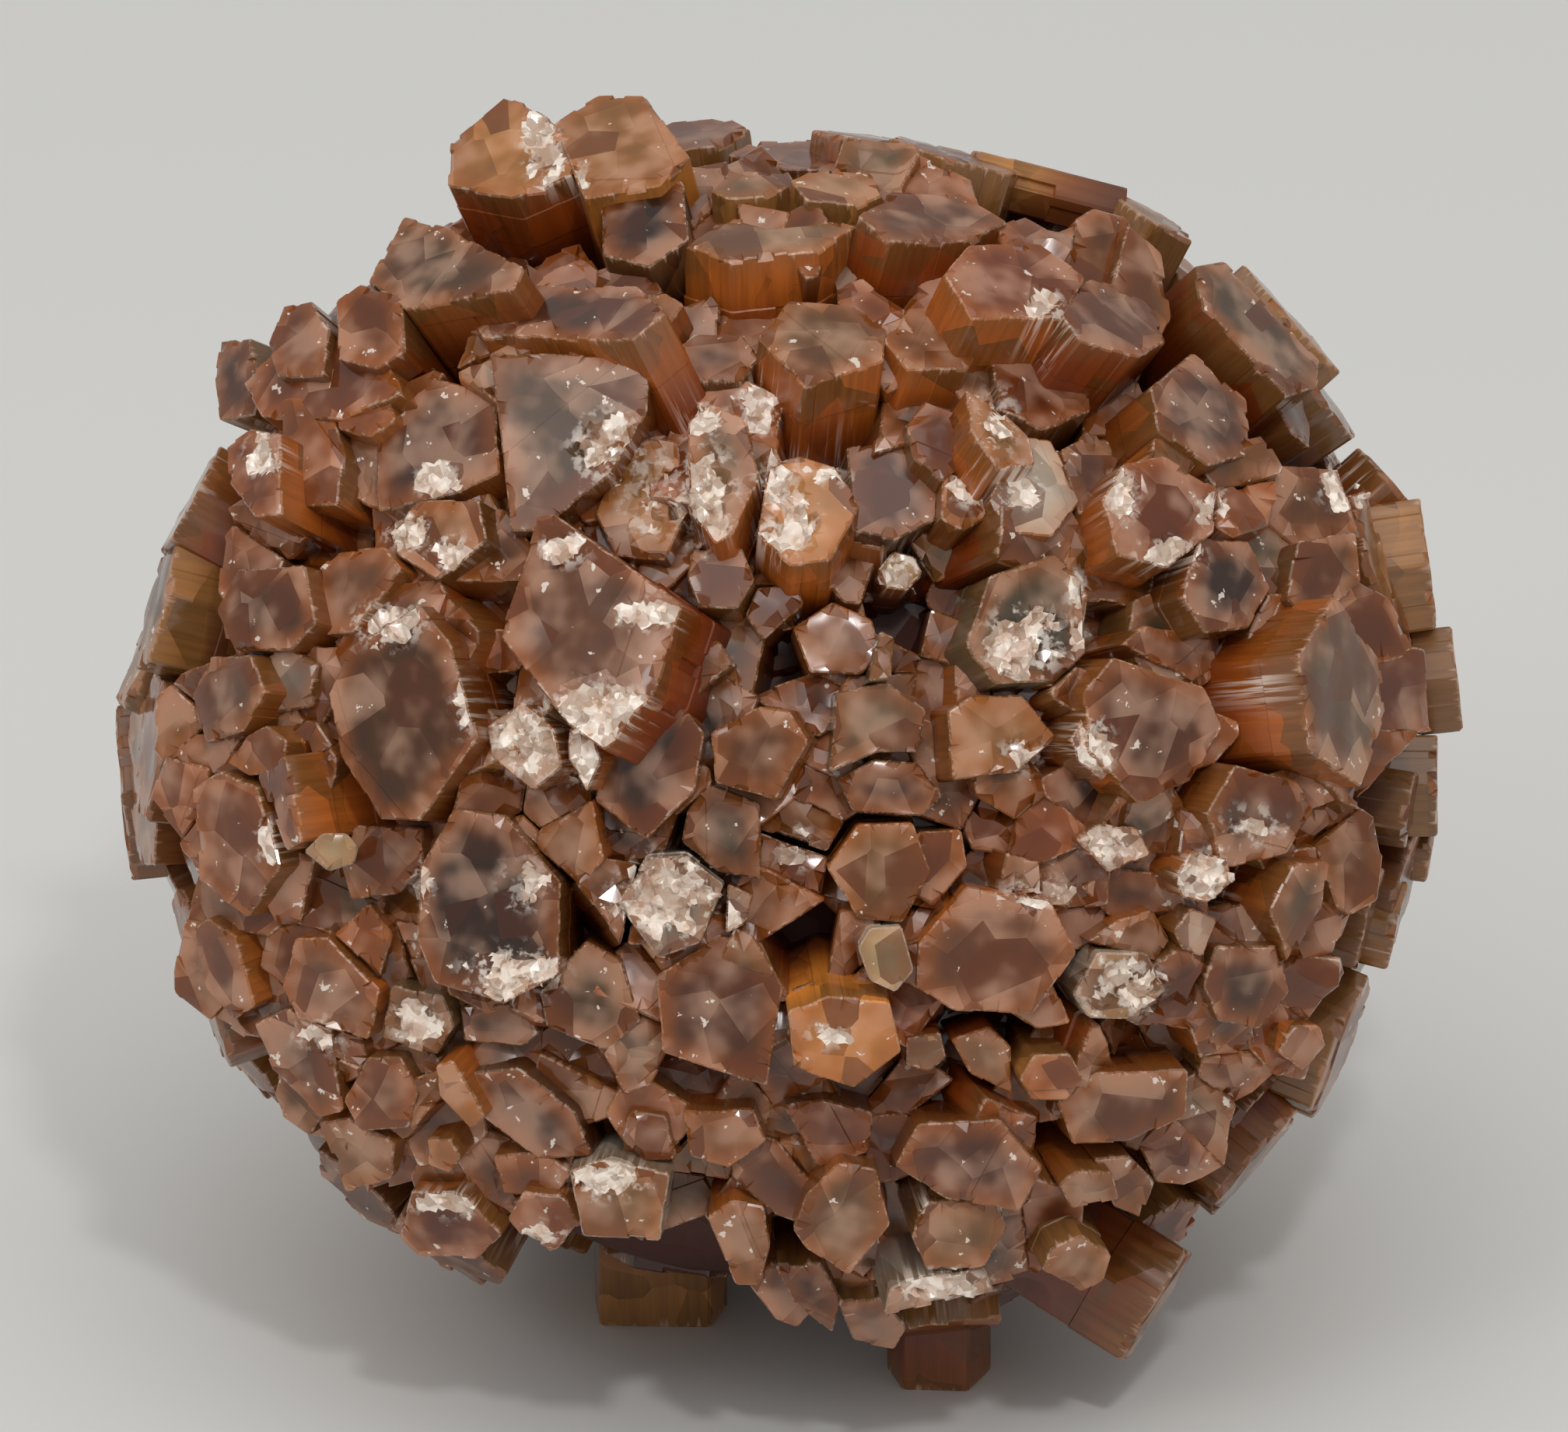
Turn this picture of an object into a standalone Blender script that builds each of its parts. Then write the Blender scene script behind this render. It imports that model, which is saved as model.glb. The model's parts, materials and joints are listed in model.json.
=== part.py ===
"""Aragonite specimen: a ball of six-sided crystals that grew outward from one hidden centre.

The crystals are placed in the specimen's own viewing directions: "across" to the right, "up" and
"back", away from the side that shows best. That side looks 24 degrees above the horizontal.
"""
import math
from collections import namedtuple

import bmesh
import bpy
from mathutils import Vector

# Driving dimensions, in millimetres and degrees.
MM = 0.001
HALF_WIDTH = 34.6          # of the crystal ends, across
HALF_HEIGHT = 33.2         # of the crystal ends, up
HALF_DEPTH = 25.0          # of the crystal ends, front to back
ROUNDNESS = 2.3            # 2 is an ellipsoid, more is a flatter front
CENTRE = (-0.03, 1.52, 29.9)  # of the ball, from the middle of the surface it stands on
FACE_ELEVATION = 24.0      # of the side that shows best
RIM_LEAN = 86.0            # lean of a crystal at the rim, from the front direction
LEAN_POWER = 1.35          # how the lean grows from the middle to the rim
LENGTH = 13.0              # usual length of a crystal
CORE_SHARE = 0.74          # inner body, as a share of the half sizes
BACK_HALF_WIDTH = 32.4     # of the crystal ends behind the rim, across
BACK_HALF_HEIGHT = 28.0    # of the crystal ends behind the rim, up
BACK_START = 70.0          # lean of the first ring behind the front crystals
BACK_ROWS = 10             # rings of crystals from there to the middle of the back
BACK_SPACING = 8.5         # between the crystals of the back
BACK_SIZE = (5.6, 9.2)     # thickness of a crystal of the back, least and most
BACK_FLATNESS = (0.8, 1.3)  # its width, as a share of its thickness
BACK_REACH = (0.84, 0.90)  # of its end, as a share of the half sizes near the rim
BACK_FULLNESS = 0.2        # added to that share on the back itself
FULL_FROM = 72.0           # lean where that starts
FULL_TO = 117.0            # lean where it is complete
BACK_LENGTH = 0.45         # its length, as a share of its end's distance from the centre
SWAY = 5.0                 # how far a crystal of the back leans off its own way out
STEP_IN = 0.5              # that a crystal underneath is shortened by, until it is clear
GAP_SPACING = 8.4          # between the low crystals that fill the front's gaps
GAP_SIZE = (4.0, 5.4)      # their thickness
GAP_SINK = (1.6, 3.8)      # of their ends below the front's
GAP_LENGTH = 9.0
GAP_EDGE = 0.84            # the rim share that they reach
LOWEST_END = 1.4           # free height under the crystals that are not feet
NAME = "aragonite_cluster"

Facing = namedtuple("Facing", "name face rise lean swing length")
Standing = namedtuple("Standing", "name end toward lean deep wide turn length")


def facing(name, face, rise=0.0, lean=0.0, swing=0.0, length=LENGTH):
    """A crystal whose end face shows. The outline holds its corners, across and up."""
    return Facing(name, face, rise, lean, swing, length)


def standing(name, end, toward, lean, deep, wide, turn=0.0, length=LENGTH):
    """A crystal given by the middle of its end, the way it points and its real thickness."""
    return Standing(name, end, toward, lean, deep, wide, turn, length)


# Crystals whose end faces show, from the top left to the bottom right.
FACING = (
    facing("horn_left", ((-17.2, 28.3), (-17.1, 30.6), (-14.3, 33.0), (-12.8, 32.5), (-10.9, 29.3),
                         (-13.8, 27.7)), rise=6.0, lean=-36.0, length=15.0),
    facing("horn_right", ((-11.3, 31.9), (-9.3, 33.5), (-7.2, 33.4), (-5.6, 30.0), (-7.2, 28.8),
                          (-10.2, 28.4)), rise=4.5, lean=-30.0, length=15.0),
    facing("top_left_slab", ((-21.2, 23.4), (-19.4, 26.8), (-17.2, 26.2), (-13.2, 24.0),
                             (-13.7, 22.8), (-19.2, 21.9)), rise=3.0, lean=-18.0),
    facing("left_knob", ((-29.0, 20.6), (-27.3, 20.7), (-26.9, 18.0), (-27.2, 16.6), (-28.9, 16.4),
                         (-29.2, 18.6)), rise=3.0, lean=-16.0, swing=12.0),
    facing("orange_knob", ((-26.3, 20.2), (-25.6, 22.2), (-24.1, 22.5), (-23.1, 21.0), (-23.4, 18.6),
                           (-25.8, 18.6)), rise=3.0, lean=-26.0),
    facing("orange_box", ((-22.8, 22.4), (-21.6, 23.3), (-19.3, 22.7), (-19.2, 19.7), (-20.6, 18.8),
                          (-22.7, 19.4)), rise=3.0, lean=-30.0),
    facing("left_red", ((-22.9, 17.4), (-21.9, 18.4), (-20.0, 18.0), (-19.7, 16.4), (-20.9, 15.4),
                        (-22.6, 15.8)), rise=1.0, lean=-15.0),
    facing("left_chipped", ((-28.4, 15.1), (-27.0, 16.0), (-25.5, 15.7), (-25.5, 11.5), (-26.8, 11.4),
                            (-28.2, 13.2)), rise=3.0, lean=-18.0),
    facing("left_orange_side", ((-25.6, 17.4), (-23.2, 17.8), (-22.4, 14.6), (-22.6, 12.0),
                                (-24.4, 12.0), (-25.6, 13.6)), rise=0.8, lean=-18.0),
    facing("left_mauve", ((-20.7, 15.2), (-17.9, 18.5), (-14.6, 17.6), (-14.4, 13.6), (-16.4, 12.6),
                          (-20.5, 11.7)), rise=0.6, lean=-12.0),
    facing("white_left", ((-19.9, 10.7), (-18.5, 12.2), (-15.4, 12.3), (-15.0, 10.2), (-17.5, 8.2),
                          (-19.6, 9.5)), rise=1.6, lean=-6.0),
    facing("upper_plank", ((-16.2, 22.3), (-14.6, 23.2), (-7.4, 23.0), (-6.0, 21.6), (-7.6, 20.2),
                           (-15.4, 20.6)), rise=1.6, lean=4.0),
    facing("upper_big", ((-14.9, 19.7), (-6.7, 19.5), (-6.9, 16.6), (-8.8, 13.4), (-12.3, 10.6),
                         (-13.8, 10.6)), rise=2.2, lean=-20.0, length=15.0),
    facing("upper_rough", ((-7.9, 15.6), (-5.4, 15.2), (-4.9, 11.6), (-6.0, 9.2), (-8.6, 9.4),
                           (-9.6, 11.6)), rise=0.4, lean=-4.0),
    facing("top_dark_block", ((-9.4, 27.8), (-7.6, 29.0), (-5.2, 28.4), (-4.9, 25.4), (-6.8, 24.0),
                              (-9.2, 24.6)), rise=1.2, lean=-20.0),
    facing("top_lens", ((-5.3, 25.2), (-3.4, 26.6), (1.4, 26.8), (3.7, 26.1), (1.6, 24.8),
                        (-2.8, 24.3)), rise=0.6, lean=9.0),
    facing("top_lavender", ((-3.9, 28.0), (-2.8, 29.1), (-0.6, 29.0), (0.3, 28.3), (-1.0, 27.6),
                            (-3.0, 27.5)), rise=0.0, lean=2.0),
    facing("top_tan", ((0.2, 28.5), (1.6, 29.2), (4.4, 29.0), (5.0, 27.8), (3.6, 27.2), (1.0, 27.4)),
           rise=0.4, lean=0.0),
    facing("upper_red", ((-5.7, 19.6), (-4.6, 20.7), (-2.3, 20.6), (-1.3, 19.4), (-2.4, 18.2),
                         (-4.8, 18.2)), rise=0.2),
    facing("upper_grey", ((-1.4, 20.5), (0.2, 22.3), (3.6, 22.0), (5.1, 20.8), (4.9, 19.2),
                          (1.0, 18.0)), rise=1.6, lean=6.0),
    facing("top_mauve_lens", ((3.6, 26.6), (5.4, 28.0), (8.8, 27.9), (11.3, 26.4), (9.4, 25.3),
                              (5.2, 25.2)), rise=1.0, lean=6.0),
    facing("top_red_chipped", ((7.9, 23.6), (9.2, 25.2), (12.8, 25.3), (15.2, 23.6), (14.0, 21.4),
                               (9.4, 21.3)), rise=2.4, lean=-8.0),
    facing("upper_brown", ((4.9, 20.3), (6.2, 22.0), (9.0, 22.1), (10.2, 20.6), (9.2, 18.8),
                           (6.2, 18.7)), rise=0.8, lean=0.0),
    facing("top_orange_small", ((10.6, 26.2), (12.0, 26.8), (13.4, 26.0), (13.2, 24.6), (11.4, 24.4)),
           rise=0.2, lean=0.0),
    facing("upper_right_lens", ((13.6, 22.0), (15.4, 23.6), (18.4, 22.6), (19.4, 20.4), (17.8, 19.4),
                                (14.8, 20.2)), rise=1.4, lean=0.0),
    facing("upper_right_side", ((10.4, 19.2), (12.6, 20.4), (15.0, 19.4), (15.4, 16.8), (13.0, 15.8),
                                (10.8, 16.8)), rise=-0.6, lean=0.0),
    facing("right_top_mauve", ((18.4, 18.0), (20.6, 19.8), (23.4, 17.4), (23.6, 14.6), (21.4, 14.0),
                               (18.8, 15.8)), rise=0.6, lean=-6.0),
    facing("right_lavender", ((20.9, 24.3), (22.4, 24.6), (27.3, 19.4), (27.0, 18.1), (25.4, 17.6),
                              (21.2, 22.2)), rise=1.2, lean=2.0),
    facing("centre_reddish", ((6.0, 16.0), (6.9, 17.3), (8.6, 16.6), (9.1, 14.2), (7.9, 13.1),
                              (6.4, 14.4)), rise=0.8),
    facing("pale_lath", ((9.1, 17.8), (10.0, 17.6), (12.2, 15.4), (12.5, 14.0), (10.6, 13.8),
                         (9.3, 15.6)), rise=2.2, lean=10.0),
    facing("pale_grey", ((11.8, 15.5), (13.4, 15.4), (14.9, 12.2), (13.4, 10.3), (11.0, 10.5),
                         (10.2, 12.4)), rise=1.8, lean=-6.0),
    facing("pink_column", ((7.9, 13.6), (9.7, 13.2), (10.1, 11.4), (8.9, 10.7), (7.8, 11.2)),
           rise=1.2),
    facing("dark_upper", ((3.0, 14.9), (5.6, 15.5), (7.7, 13.6), (7.6, 11.2), (5.6, 10.2),
                          (3.4, 10.6)), rise=0.2),
    facing("white_cluster_left", ((-4.9, 16.2), (-3.7, 17.1), (-1.9, 16.2), (-1.3, 13.4),
                                  (-2.6, 10.4), (-3.6, 10.1), (-5.0, 12.0)), rise=3.0),
    facing("white_cluster_right", ((-0.9, 14.0), (0.8, 14.5), (2.6, 13.9), (3.8, 11.9), (2.3, 9.1),
                                   (0.2, 8.8), (-1.5, 10.6)), rise=3.0, lean=4.0),
    facing("orange_hexagon", ((-5.0, 8.4), (-4.6, 9.9), (-2.2, 9.9), (-1.5, 8.2), (-2.4, 6.7),
                              (-4.4, 6.8)), rise=1.6),
    facing("mauve_wedge", ((-2.1, 6.4), (-1.4, 7.9), (0.6, 8.0), (1.0, 7.0), (-1.1, 5.1)), rise=0.6),
    facing("big_shield", ((-12.4, 11.4), (-11.6, 11.5), (-5.2, 7.0), (-6.6, 2.6), (-9.1, -0.3),
                          (-11.0, 1.1), (-14.3, 5.4)), rise=4.2, lean=6.0, length=16.0),
    facing("left_hexagon", ((-23.0, 2.6), (-21.9, 4.9), (-18.4, 7.0), (-16.7, 5.0), (-15.4, 0.2),
                            (-18.3, -3.9), (-20.4, -3.8), (-22.4, -0.6)), rise=3.0, lean=-14.0,
           length=16.0),
    facing("left_brown", ((-28.8, 6.7), (-27.8, 8.8), (-24.3, 9.0), (-23.6, 6.0), (-25.0, 4.7),
                          (-27.8, 4.7)), rise=1.6, lean=-16.0),
    facing("left_mauve_cap", ((-23.6, 8.8), (-22.6, 9.7), (-20.2, 9.9), (-19.3, 8.8), (-21.7, 5.6),
                              (-23.7, 5.4)), rise=1.0, lean=-8.0),
    facing("left_low_brown", ((-30.1, 2.6), (-29.2, 4.4), (-27.0, 4.5), (-26.2, 2.6), (-27.4, 0.6),
                              (-29.4, 0.0)), rise=1.6, lean=-10.0),
    facing("left_pale_lump", ((-26.9, 4.0), (-25.2, 5.0), (-23.6, 4.0), (-24.0, 1.8), (-26.0, 1.5)),
           rise=1.0, lean=-12.0),
    facing("left_round", ((-28.3, -1.0), (-27.3, 0.4), (-26.1, 1.0), (-25.0, 0.2), (-25.3, -1.4),
                          (-27.0, -1.7)), rise=2.4, lean=-12.0),
    facing("left_orange_cap", ((-30.0, -2.2), (-28.6, -1.4), (-26.6, -2.2), (-25.4, -6.2),
                               (-27.2, -8.8), (-29.6, -7.0)), rise=2.6, lean=-14.0),
    facing("left_tall_mauve", ((-26.6, -1.6), (-25.1, -0.6), (-24.3, -4.9), (-25.1, -5.4)),
           rise=3.2, lean=8.0),
    facing("cream_oval", ((-23.9, -5.4), (-22.9, -4.5), (-21.6, -4.9), (-21.6, -5.9), (-23.3, -6.3)),
           rise=3.0, length=10.0),
    facing("left_lower_mauve", ((-21.7, -4.1), (-18.2, -4.2), (-18.2, -6.2), (-19.5, -7.6),
                                (-21.9, -7.9), (-22.4, -6.2)), rise=0.8, lean=-6.0),
    facing("drusy_lump", ((-15.0, 0.8), (-13.2, 2.1), (-11.7, 0.8), (-11.2, -1.1), (-12.7, -2.4),
                          (-14.8, -0.6)), rise=3.0),
    facing("glassy_drop", ((-10.9, 0.8), (-9.6, 0.4), (-9.2, -0.8), (-9.9, -2.4), (-10.8, -0.9)),
           rise=4.0, length=9.0),
    facing("dark_hexagon", ((-9.3, -0.8), (-7.6, 2.2), (-6.0, 3.0), (-4.0, 0.5), (-4.5, -2.4),
                            (-7.0, -4.9), (-9.6, -2.9)), rise=1.4),
    facing("small_brown", ((-6.2, 3.3), (-5.8, 4.9), (-3.4, 5.2), (-2.6, 4.0), (-4.8, 2.1)),
           rise=1.0),
    facing("centre_hexagon", ((-3.8, 0.6), (-1.4, 1.9), (0.2, 1.7), (1.2, 0.1), (-0.5, -2.9),
                              (-3.6, -2.0)), rise=1.8, lean=8.0),
    facing("grey_star", ((2.4, 0.6), (2.5, 2.5), (5.0, 3.1), (7.0, 1.7), (6.6, -0.4), (4.6, -0.4),
                         (2.2, -1.4)), rise=1.0),
    facing("grey_spur", ((4.7, 5.7), (5.5, 5.3), (5.3, 3.2), (4.1, 3.1)), rise=2.0, length=8.0),
    facing("centre_brown", ((0.4, 5.8), (2.4, 7.1), (4.3, 6.2), (4.7, 4.6), (3.8, 3.5), (1.2, 3.6)),
           rise=0.2),
    facing("sparkling_cap", ((4.6, 8.7), (5.4, 9.7), (6.5, 9.4), (6.9, 8.5), (6.1, 7.7), (5.0, 7.8)),
           rise=-0.6),
    facing("glassy_cap", ((9.0, 5.0), (10.2, 8.4), (13.4, 9.5), (14.9, 8.3), (15.1, 4.6),
                          (13.6, 3.1), (10.6, 3.0)), rise=2.2),
    facing("right_chipped", ((15.9, 12.2), (17.0, 14.1), (19.0, 14.5), (21.9, 12.8), (21.6, 10.6),
                             (19.2, 8.8), (16.6, 9.4)), rise=2.4, lean=-10.0),
    facing("right_mauve", ((20.8, 10.4), (23.4, 10.2), (24.6, 7.9), (23.4, 5.8), (21.0, 5.5),
                           (19.9, 7.4)), rise=1.4, lean=-8.0),
    facing("dark_grey", ((13.8, 14.8), (15.0, 15.4), (16.8, 14.3), (16.0, 12.2), (14.8, 11.4)),
           rise=0.0),
    facing("right_slab", ((16.8, 5.0), (18.0, 6.0), (21.6, 5.4), (21.9, 4.0), (20.6, 3.1)),
           rise=0.4),
    facing("right_hexagon", ((15.0, 2.6), (16.4, 4.3), (21.0, 2.8), (22.0, 0.8), (20.4, -1.8),
                             (17.8, -3.0), (15.2, -0.4)), rise=2.4, lean=-6.0, length=15.0),
    facing("right_white_edge", ((14.2, 0.2), (15.1, 1.5), (16.8, -0.8), (15.9, -1.9), (14.7, -0.9)),
           rise=2.8),
    facing("right_big_cap", ((25.7, 4.4), (27.7, 7.4), (30.0, 4.5), (30.4, 1.5), (29.0, -2.2),
                             (26.4, -0.4)), rise=3.0, lean=-6.0, length=17.0),
    facing("pink_block", ((8.1, 1.6), (9.4, 2.4), (11.8, 2.4), (13.6, 0.3), (11.6, -1.4),
                          (8.4, -1.8)), rise=1.8),
    facing("arched_dark", ((2.6, -1.8), (4.4, -0.8), (6.6, -1.0), (7.9, -2.6), (6.8, -3.6),
                           (3.4, -3.4)), rise=0.4),
    facing("dark_square", ((-4.9, -3.3), (-3.8, -2.0), (-1.3, -3.0), (-1.2, -6.8), (-3.4, -6.4),
                           (-5.2, -4.9)), rise=0.4),
    facing("white_broken", ((-8.5, -8.0), (-7.0, -5.6), (-5.0, -5.5), (-3.0, -7.0), (-4.2, -10.0),
                            (-6.4, -10.8)), rise=2.0),
    facing("pale_chip", ((-2.9, -7.0), (-1.6, -7.6), (-2.0, -9.0), (-3.0, -9.5)), rise=1.6),
    facing("centre_low_mauve", ((2.0, -6.2), (3.6, -4.0), (6.4, -3.9), (7.3, -6.4), (5.9, -9.0),
                                (3.6, -8.8)), rise=1.0),
    facing("centre_low_side", ((6.6, -4.4), (8.8, -4.3), (9.1, -6.2), (7.4, -8.2), (6.2, -7.4)),
           rise=0.4),
    facing("cream_cap", ((3.6, -10.2), (4.2, -9.2), (5.8, -9.1), (6.4, -11.3), (5.5, -12.4),
                         (4.2, -11.8)), rise=3.4, length=11.0),
    facing("low_right_big", ((6.6, -10.0), (9.0, -7.1), (13.3, -7.8), (14.6, -10.5), (12.4, -13.6),
                             (8.4, -13.4), (6.5, -12.2)), rise=2.0, length=15.0),
    facing("amber_column", ((0.1, -13.4), (2.2, -12.6), (5.2, -12.9), (5.8, -15.4), (3.4, -17.3),
                            (0.4, -16.2)), rise=3.4, lean=14.0, length=16.0),
    facing("low_dark_hexagon", ((-6.5, -11.6), (-3.4, -9.6), (-1.2, -9.9), (-0.1, -12.2),
                                (-0.9, -17.2), (-6.2, -15.5)), rise=1.8, length=15.0),
    facing("low_left_brown", ((-12.4, -12.4), (-10.0, -9.8), (-8.2, -10.8), (-7.2, -13.9),
                              (-8.9, -15.5), (-12.0, -14.3)), rise=0.6),
    facing("big_left_low", ((-18.4, -6.2), (-16.6, -3.2), (-13.9, -3.6), (-11.2, -7.0),
                            (-11.3, -11.6), (-14.2, -13.1), (-17.6, -12.0), (-18.5, -9.8)),
           rise=2.6, lean=-4.0, length=15.0),
    facing("dark_grey_slab", ((-16.4, -13.2), (-13.4, -13.0), (-12.3, -14.6), (-13.2, -15.3),
                              (-16.2, -15.0)), rise=-0.2),
    facing("grey_glassy", ((-20.5, -14.9), (-19.9, -12.1), (-17.2, -12.7), (-16.6, -14.2),
                           (-17.6, -15.8)), rise=1.0),
    facing("left_low_mauve", ((-25.4, -12.2), (-24.7, -9.8), (-23.0, -9.8), (-20.5, -12.5),
                              (-21.0, -14.9), (-24.6, -14.0)), rise=1.6, lean=-10.0),
    facing("left_low_orange", ((-22.8, -9.6), (-21.0, -8.0), (-19.8, -9.6), (-20.4, -11.8)),
           rise=0.6, lean=-10.0),
    facing("left_low_rim", ((-30.1, -9.4), (-29.2, -8.8), (-27.8, -9.8), (-26.8, -13.3),
                            (-28.0, -14.1), (-29.4, -12.4)), rise=2.4, lean=-14.0),
    facing("left_bottom_pale", ((-26.9, -14.2), (-25.2, -13.4), (-23.0, -14.6), (-22.4, -18.6),
                                (-23.6, -18.9), (-25.9, -16.6)), rise=2.4, lean=-16.0),
    facing("low_orange_cap", ((-22.3, -18.0), (-21.1, -15.8), (-19.3, -15.8), (-18.5, -17.6),
                              (-19.0, -19.4), (-21.5, -19.6)), rise=2.0, lean=-14.0),
    facing("pale_crescent", ((-17.6, -16.2), (-16.7, -15.9), (-15.1, -18.8), (-15.8, -19.4),
                             (-17.4, -17.8)), rise=2.2),
    facing("low_dark_arch", ((-15.8, -16.6), (-13.4, -16.3), (-10.6, -18.6), (-9.8, -20.8),
                             (-12.4, -21.0), (-15.2, -18.8)), rise=0.8),
    facing("low_tan_block", ((-23.7, -19.2), (-22.2, -18.9), (-19.7, -20.2), (-20.0, -22.1),
                             (-22.3, -22.8)), rise=2.0, lean=-6.0),
    facing("low_small_cap", ((-18.2, -20.0), (-16.9, -19.9), (-16.3, -20.9), (-16.9, -21.7),
                             (-18.1, -21.3)), rise=2.0),
    facing("low_red_cap", ((-19.6, -25.0), (-18.9, -22.6), (-16.2, -22.8), (-14.3, -24.8),
                           (-15.6, -26.1), (-18.6, -26.0)), rise=2.8, lean=-16.0),
    facing("low_pale_red", ((-14.0, -24.0), (-13.2, -22.6), (-11.2, -22.8), (-10.5, -24.2),
                            (-11.6, -25.6), (-13.3, -24.9)), rise=2.2, lean=-12.0),
    facing("low_orange_fill", ((-14.8, -20.8), (-12.4, -20.6), (-10.8, -21.6), (-11.6, -23.2),
                               (-14.2, -22.8)), rise=1.0),
    facing("silver_block", ((-10.9, -21.5), (-9.2, -20.9), (-5.8, -21.6), (-6.3, -25.0),
                            (-10.2, -24.8)), rise=2.8, lean=-14.0),
    facing("low_mauve_slab", ((-8.3, -19.8), (-7.8, -18.5), (-6.0, -18.8), (-5.5, -20.9),
                              (-7.2, -21.0)), rise=0.8),
    facing("low_brown_slab", ((-5.2, -18.4), (-1.6, -18.3), (-0.9, -20.0), (-2.8, -21.4),
                              (-4.9, -20.8)), rise=0.6),
    facing("low_lavender", ((-3.9, -23.9), (-2.7, -23.1), (-1.1, -23.4), (-0.8, -25.4),
                            (-1.3, -27.3), (-2.5, -27.3)), rise=1.6, lean=-8.0),
    facing("low_centre_cap", ((0.3, -24.4), (1.0, -22.6), (2.6, -21.0), (4.6, -21.3), (5.3, -24.2),
                              (3.2, -26.8), (1.0, -25.4)), rise=3.0, lean=-14.0),
    facing("low_red_hexagon", ((5.4, -21.2), (6.6, -19.0), (10.8, -18.8), (13.0, -21.3),
                               (11.8, -23.6), (8.0, -22.9)), rise=3.2, lean=-14.0, length=15.0),
    facing("low_under_hexagon", ((6.3, -24.8), (7.0, -23.0), (10.6, -23.0), (11.2, -24.4),
                                 (10.0, -26.4), (7.2, -26.8)), rise=3.4, lean=-12.0),
    facing("silver_ledge", ((5.0, -28.8), (5.3, -27.5), (10.0, -26.4), (10.5, -27.8)),
           rise=4.2, lean=-16.0),
    facing("low_dark_red", ((2.6, -28.4), (4.8, -28.0), (6.2, -29.6), (5.6, -30.8), (3.4, -30.4)),
           rise=1.6, lean=-12.0),
    facing("low_dark_edge", ((-0.6, -26.4), (1.8, -26.2), (2.9, -28.2), (2.4, -30.0),
                             (0.4, -28.4)), rise=0.6, lean=-6.0),
    facing("low_small_prism", ((12.9, -26.6), (13.4, -25.4), (14.9, -24.7), (16.5, -25.8),
                               (16.1, -27.2), (15.0, -27.8)), rise=4.6, lean=-20.0),
    facing("low_tan_prism", ((13.6, -18.0), (15.6, -16.5), (20.3, -16.4), (20.2, -18.8),
                             (17.4, -20.1), (14.4, -20.2)), rise=2.0, lean=-12.0),
    facing("small_barrel", ((11.7, -16.8), (12.4, -15.6), (14.3, -15.5), (15.0, -16.8),
                            (14.2, -18.0), (12.3, -18.0)), rise=1.8),
    facing("right_low_druse", ((14.4, -12.6), (15.6, -10.4), (18.2, -10.5), (19.2, -12.4),
                               (17.6, -13.9), (15.2, -13.8)), rise=2.0),
    facing("right_shard", ((15.0, -10.0), (16.6, -8.8), (18.5, -8.3), (19.4, -9.8), (18.7, -11.0)),
           rise=1.2),
    facing("right_dark_slab", ((14.8, -7.2), (16.4, -6.2), (19.8, -6.6), (20.2, -8.4), (16.4, -8.8)),
           rise=0.0),
    facing("right_pale_lump", ((14.5, -4.8), (15.6, -4.0), (17.6, -4.2), (18.4, -5.6), (16.2, -6.5)),
           rise=1.4),
    facing("right_white_lump", ((19.6, -6.6), (20.4, -5.4), (22.2, -5.8), (22.5, -7.0),
                                (21.2, -8.0), (19.9, -7.7)), rise=2.6),
    facing("right_broken_mauve", ((21.2, -3.4), (22.6, -1.1), (25.8, -1.9), (26.6, -3.2),
                                  (25.4, -5.6), (22.0, -6.3)), rise=2.0, lean=-6.0),
    facing("right_low_lens", ((24.4, -8.4), (25.6, -6.1), (27.4, -6.0), (27.1, -8.4), (25.4, -11.0)),
           rise=2.4, lean=-4.0),
    facing("right_low_mauve", ((21.0, -12.2), (21.6, -10.2), (24.8, -10.2), (25.4, -12.6),
                               (23.8, -14.4), (21.8, -14.0)), rise=2.0, lean=-10.0),
    facing("right_small_round", ((24.9, -15.6), (25.6, -14.3), (27.0, -14.3), (27.4, -15.4),
                                 (26.2, -16.6)), rise=3.0, lean=-12.0),
    facing("right_pale_chip", ((19.4, -9.4), (20.4, -8.2), (21.8, -8.8), (21.0, -10.8),
                               (19.9, -10.4)), rise=1.8),
    facing("low_grey_chip", ((13.7, -22.2), (14.6, -21.5), (16.5, -21.6), (16.9, -23.0),
                             (14.4, -23.5)), rise=2.6, lean=-6.0),
    facing("low_right_wedge", ((15.6, -21.0), (17.3, -20.8), (18.7, -22.2), (18.0, -24.0),
                               (16.6, -23.4)), rise=1.4, lean=-6.0),
    facing("small_cream", ((6.0, -14.7), (7.8, -14.4), (8.1, -15.8), (7.2, -16.5), (6.0, -16.2)),
           rise=1.2),
    facing("lavender_slab", ((8.2, -14.8), (10.2, -14.1), (11.4, -15.2), (11.4, -17.8),
                             (9.2, -16.6)), rise=0.4),
    facing("low_deep_orange", ((-0.1, -18.2), (2.0, -17.9), (4.4, -18.6), (4.2, -20.6),
                               (1.6, -21.3)), rise=0.2),
)

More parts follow.
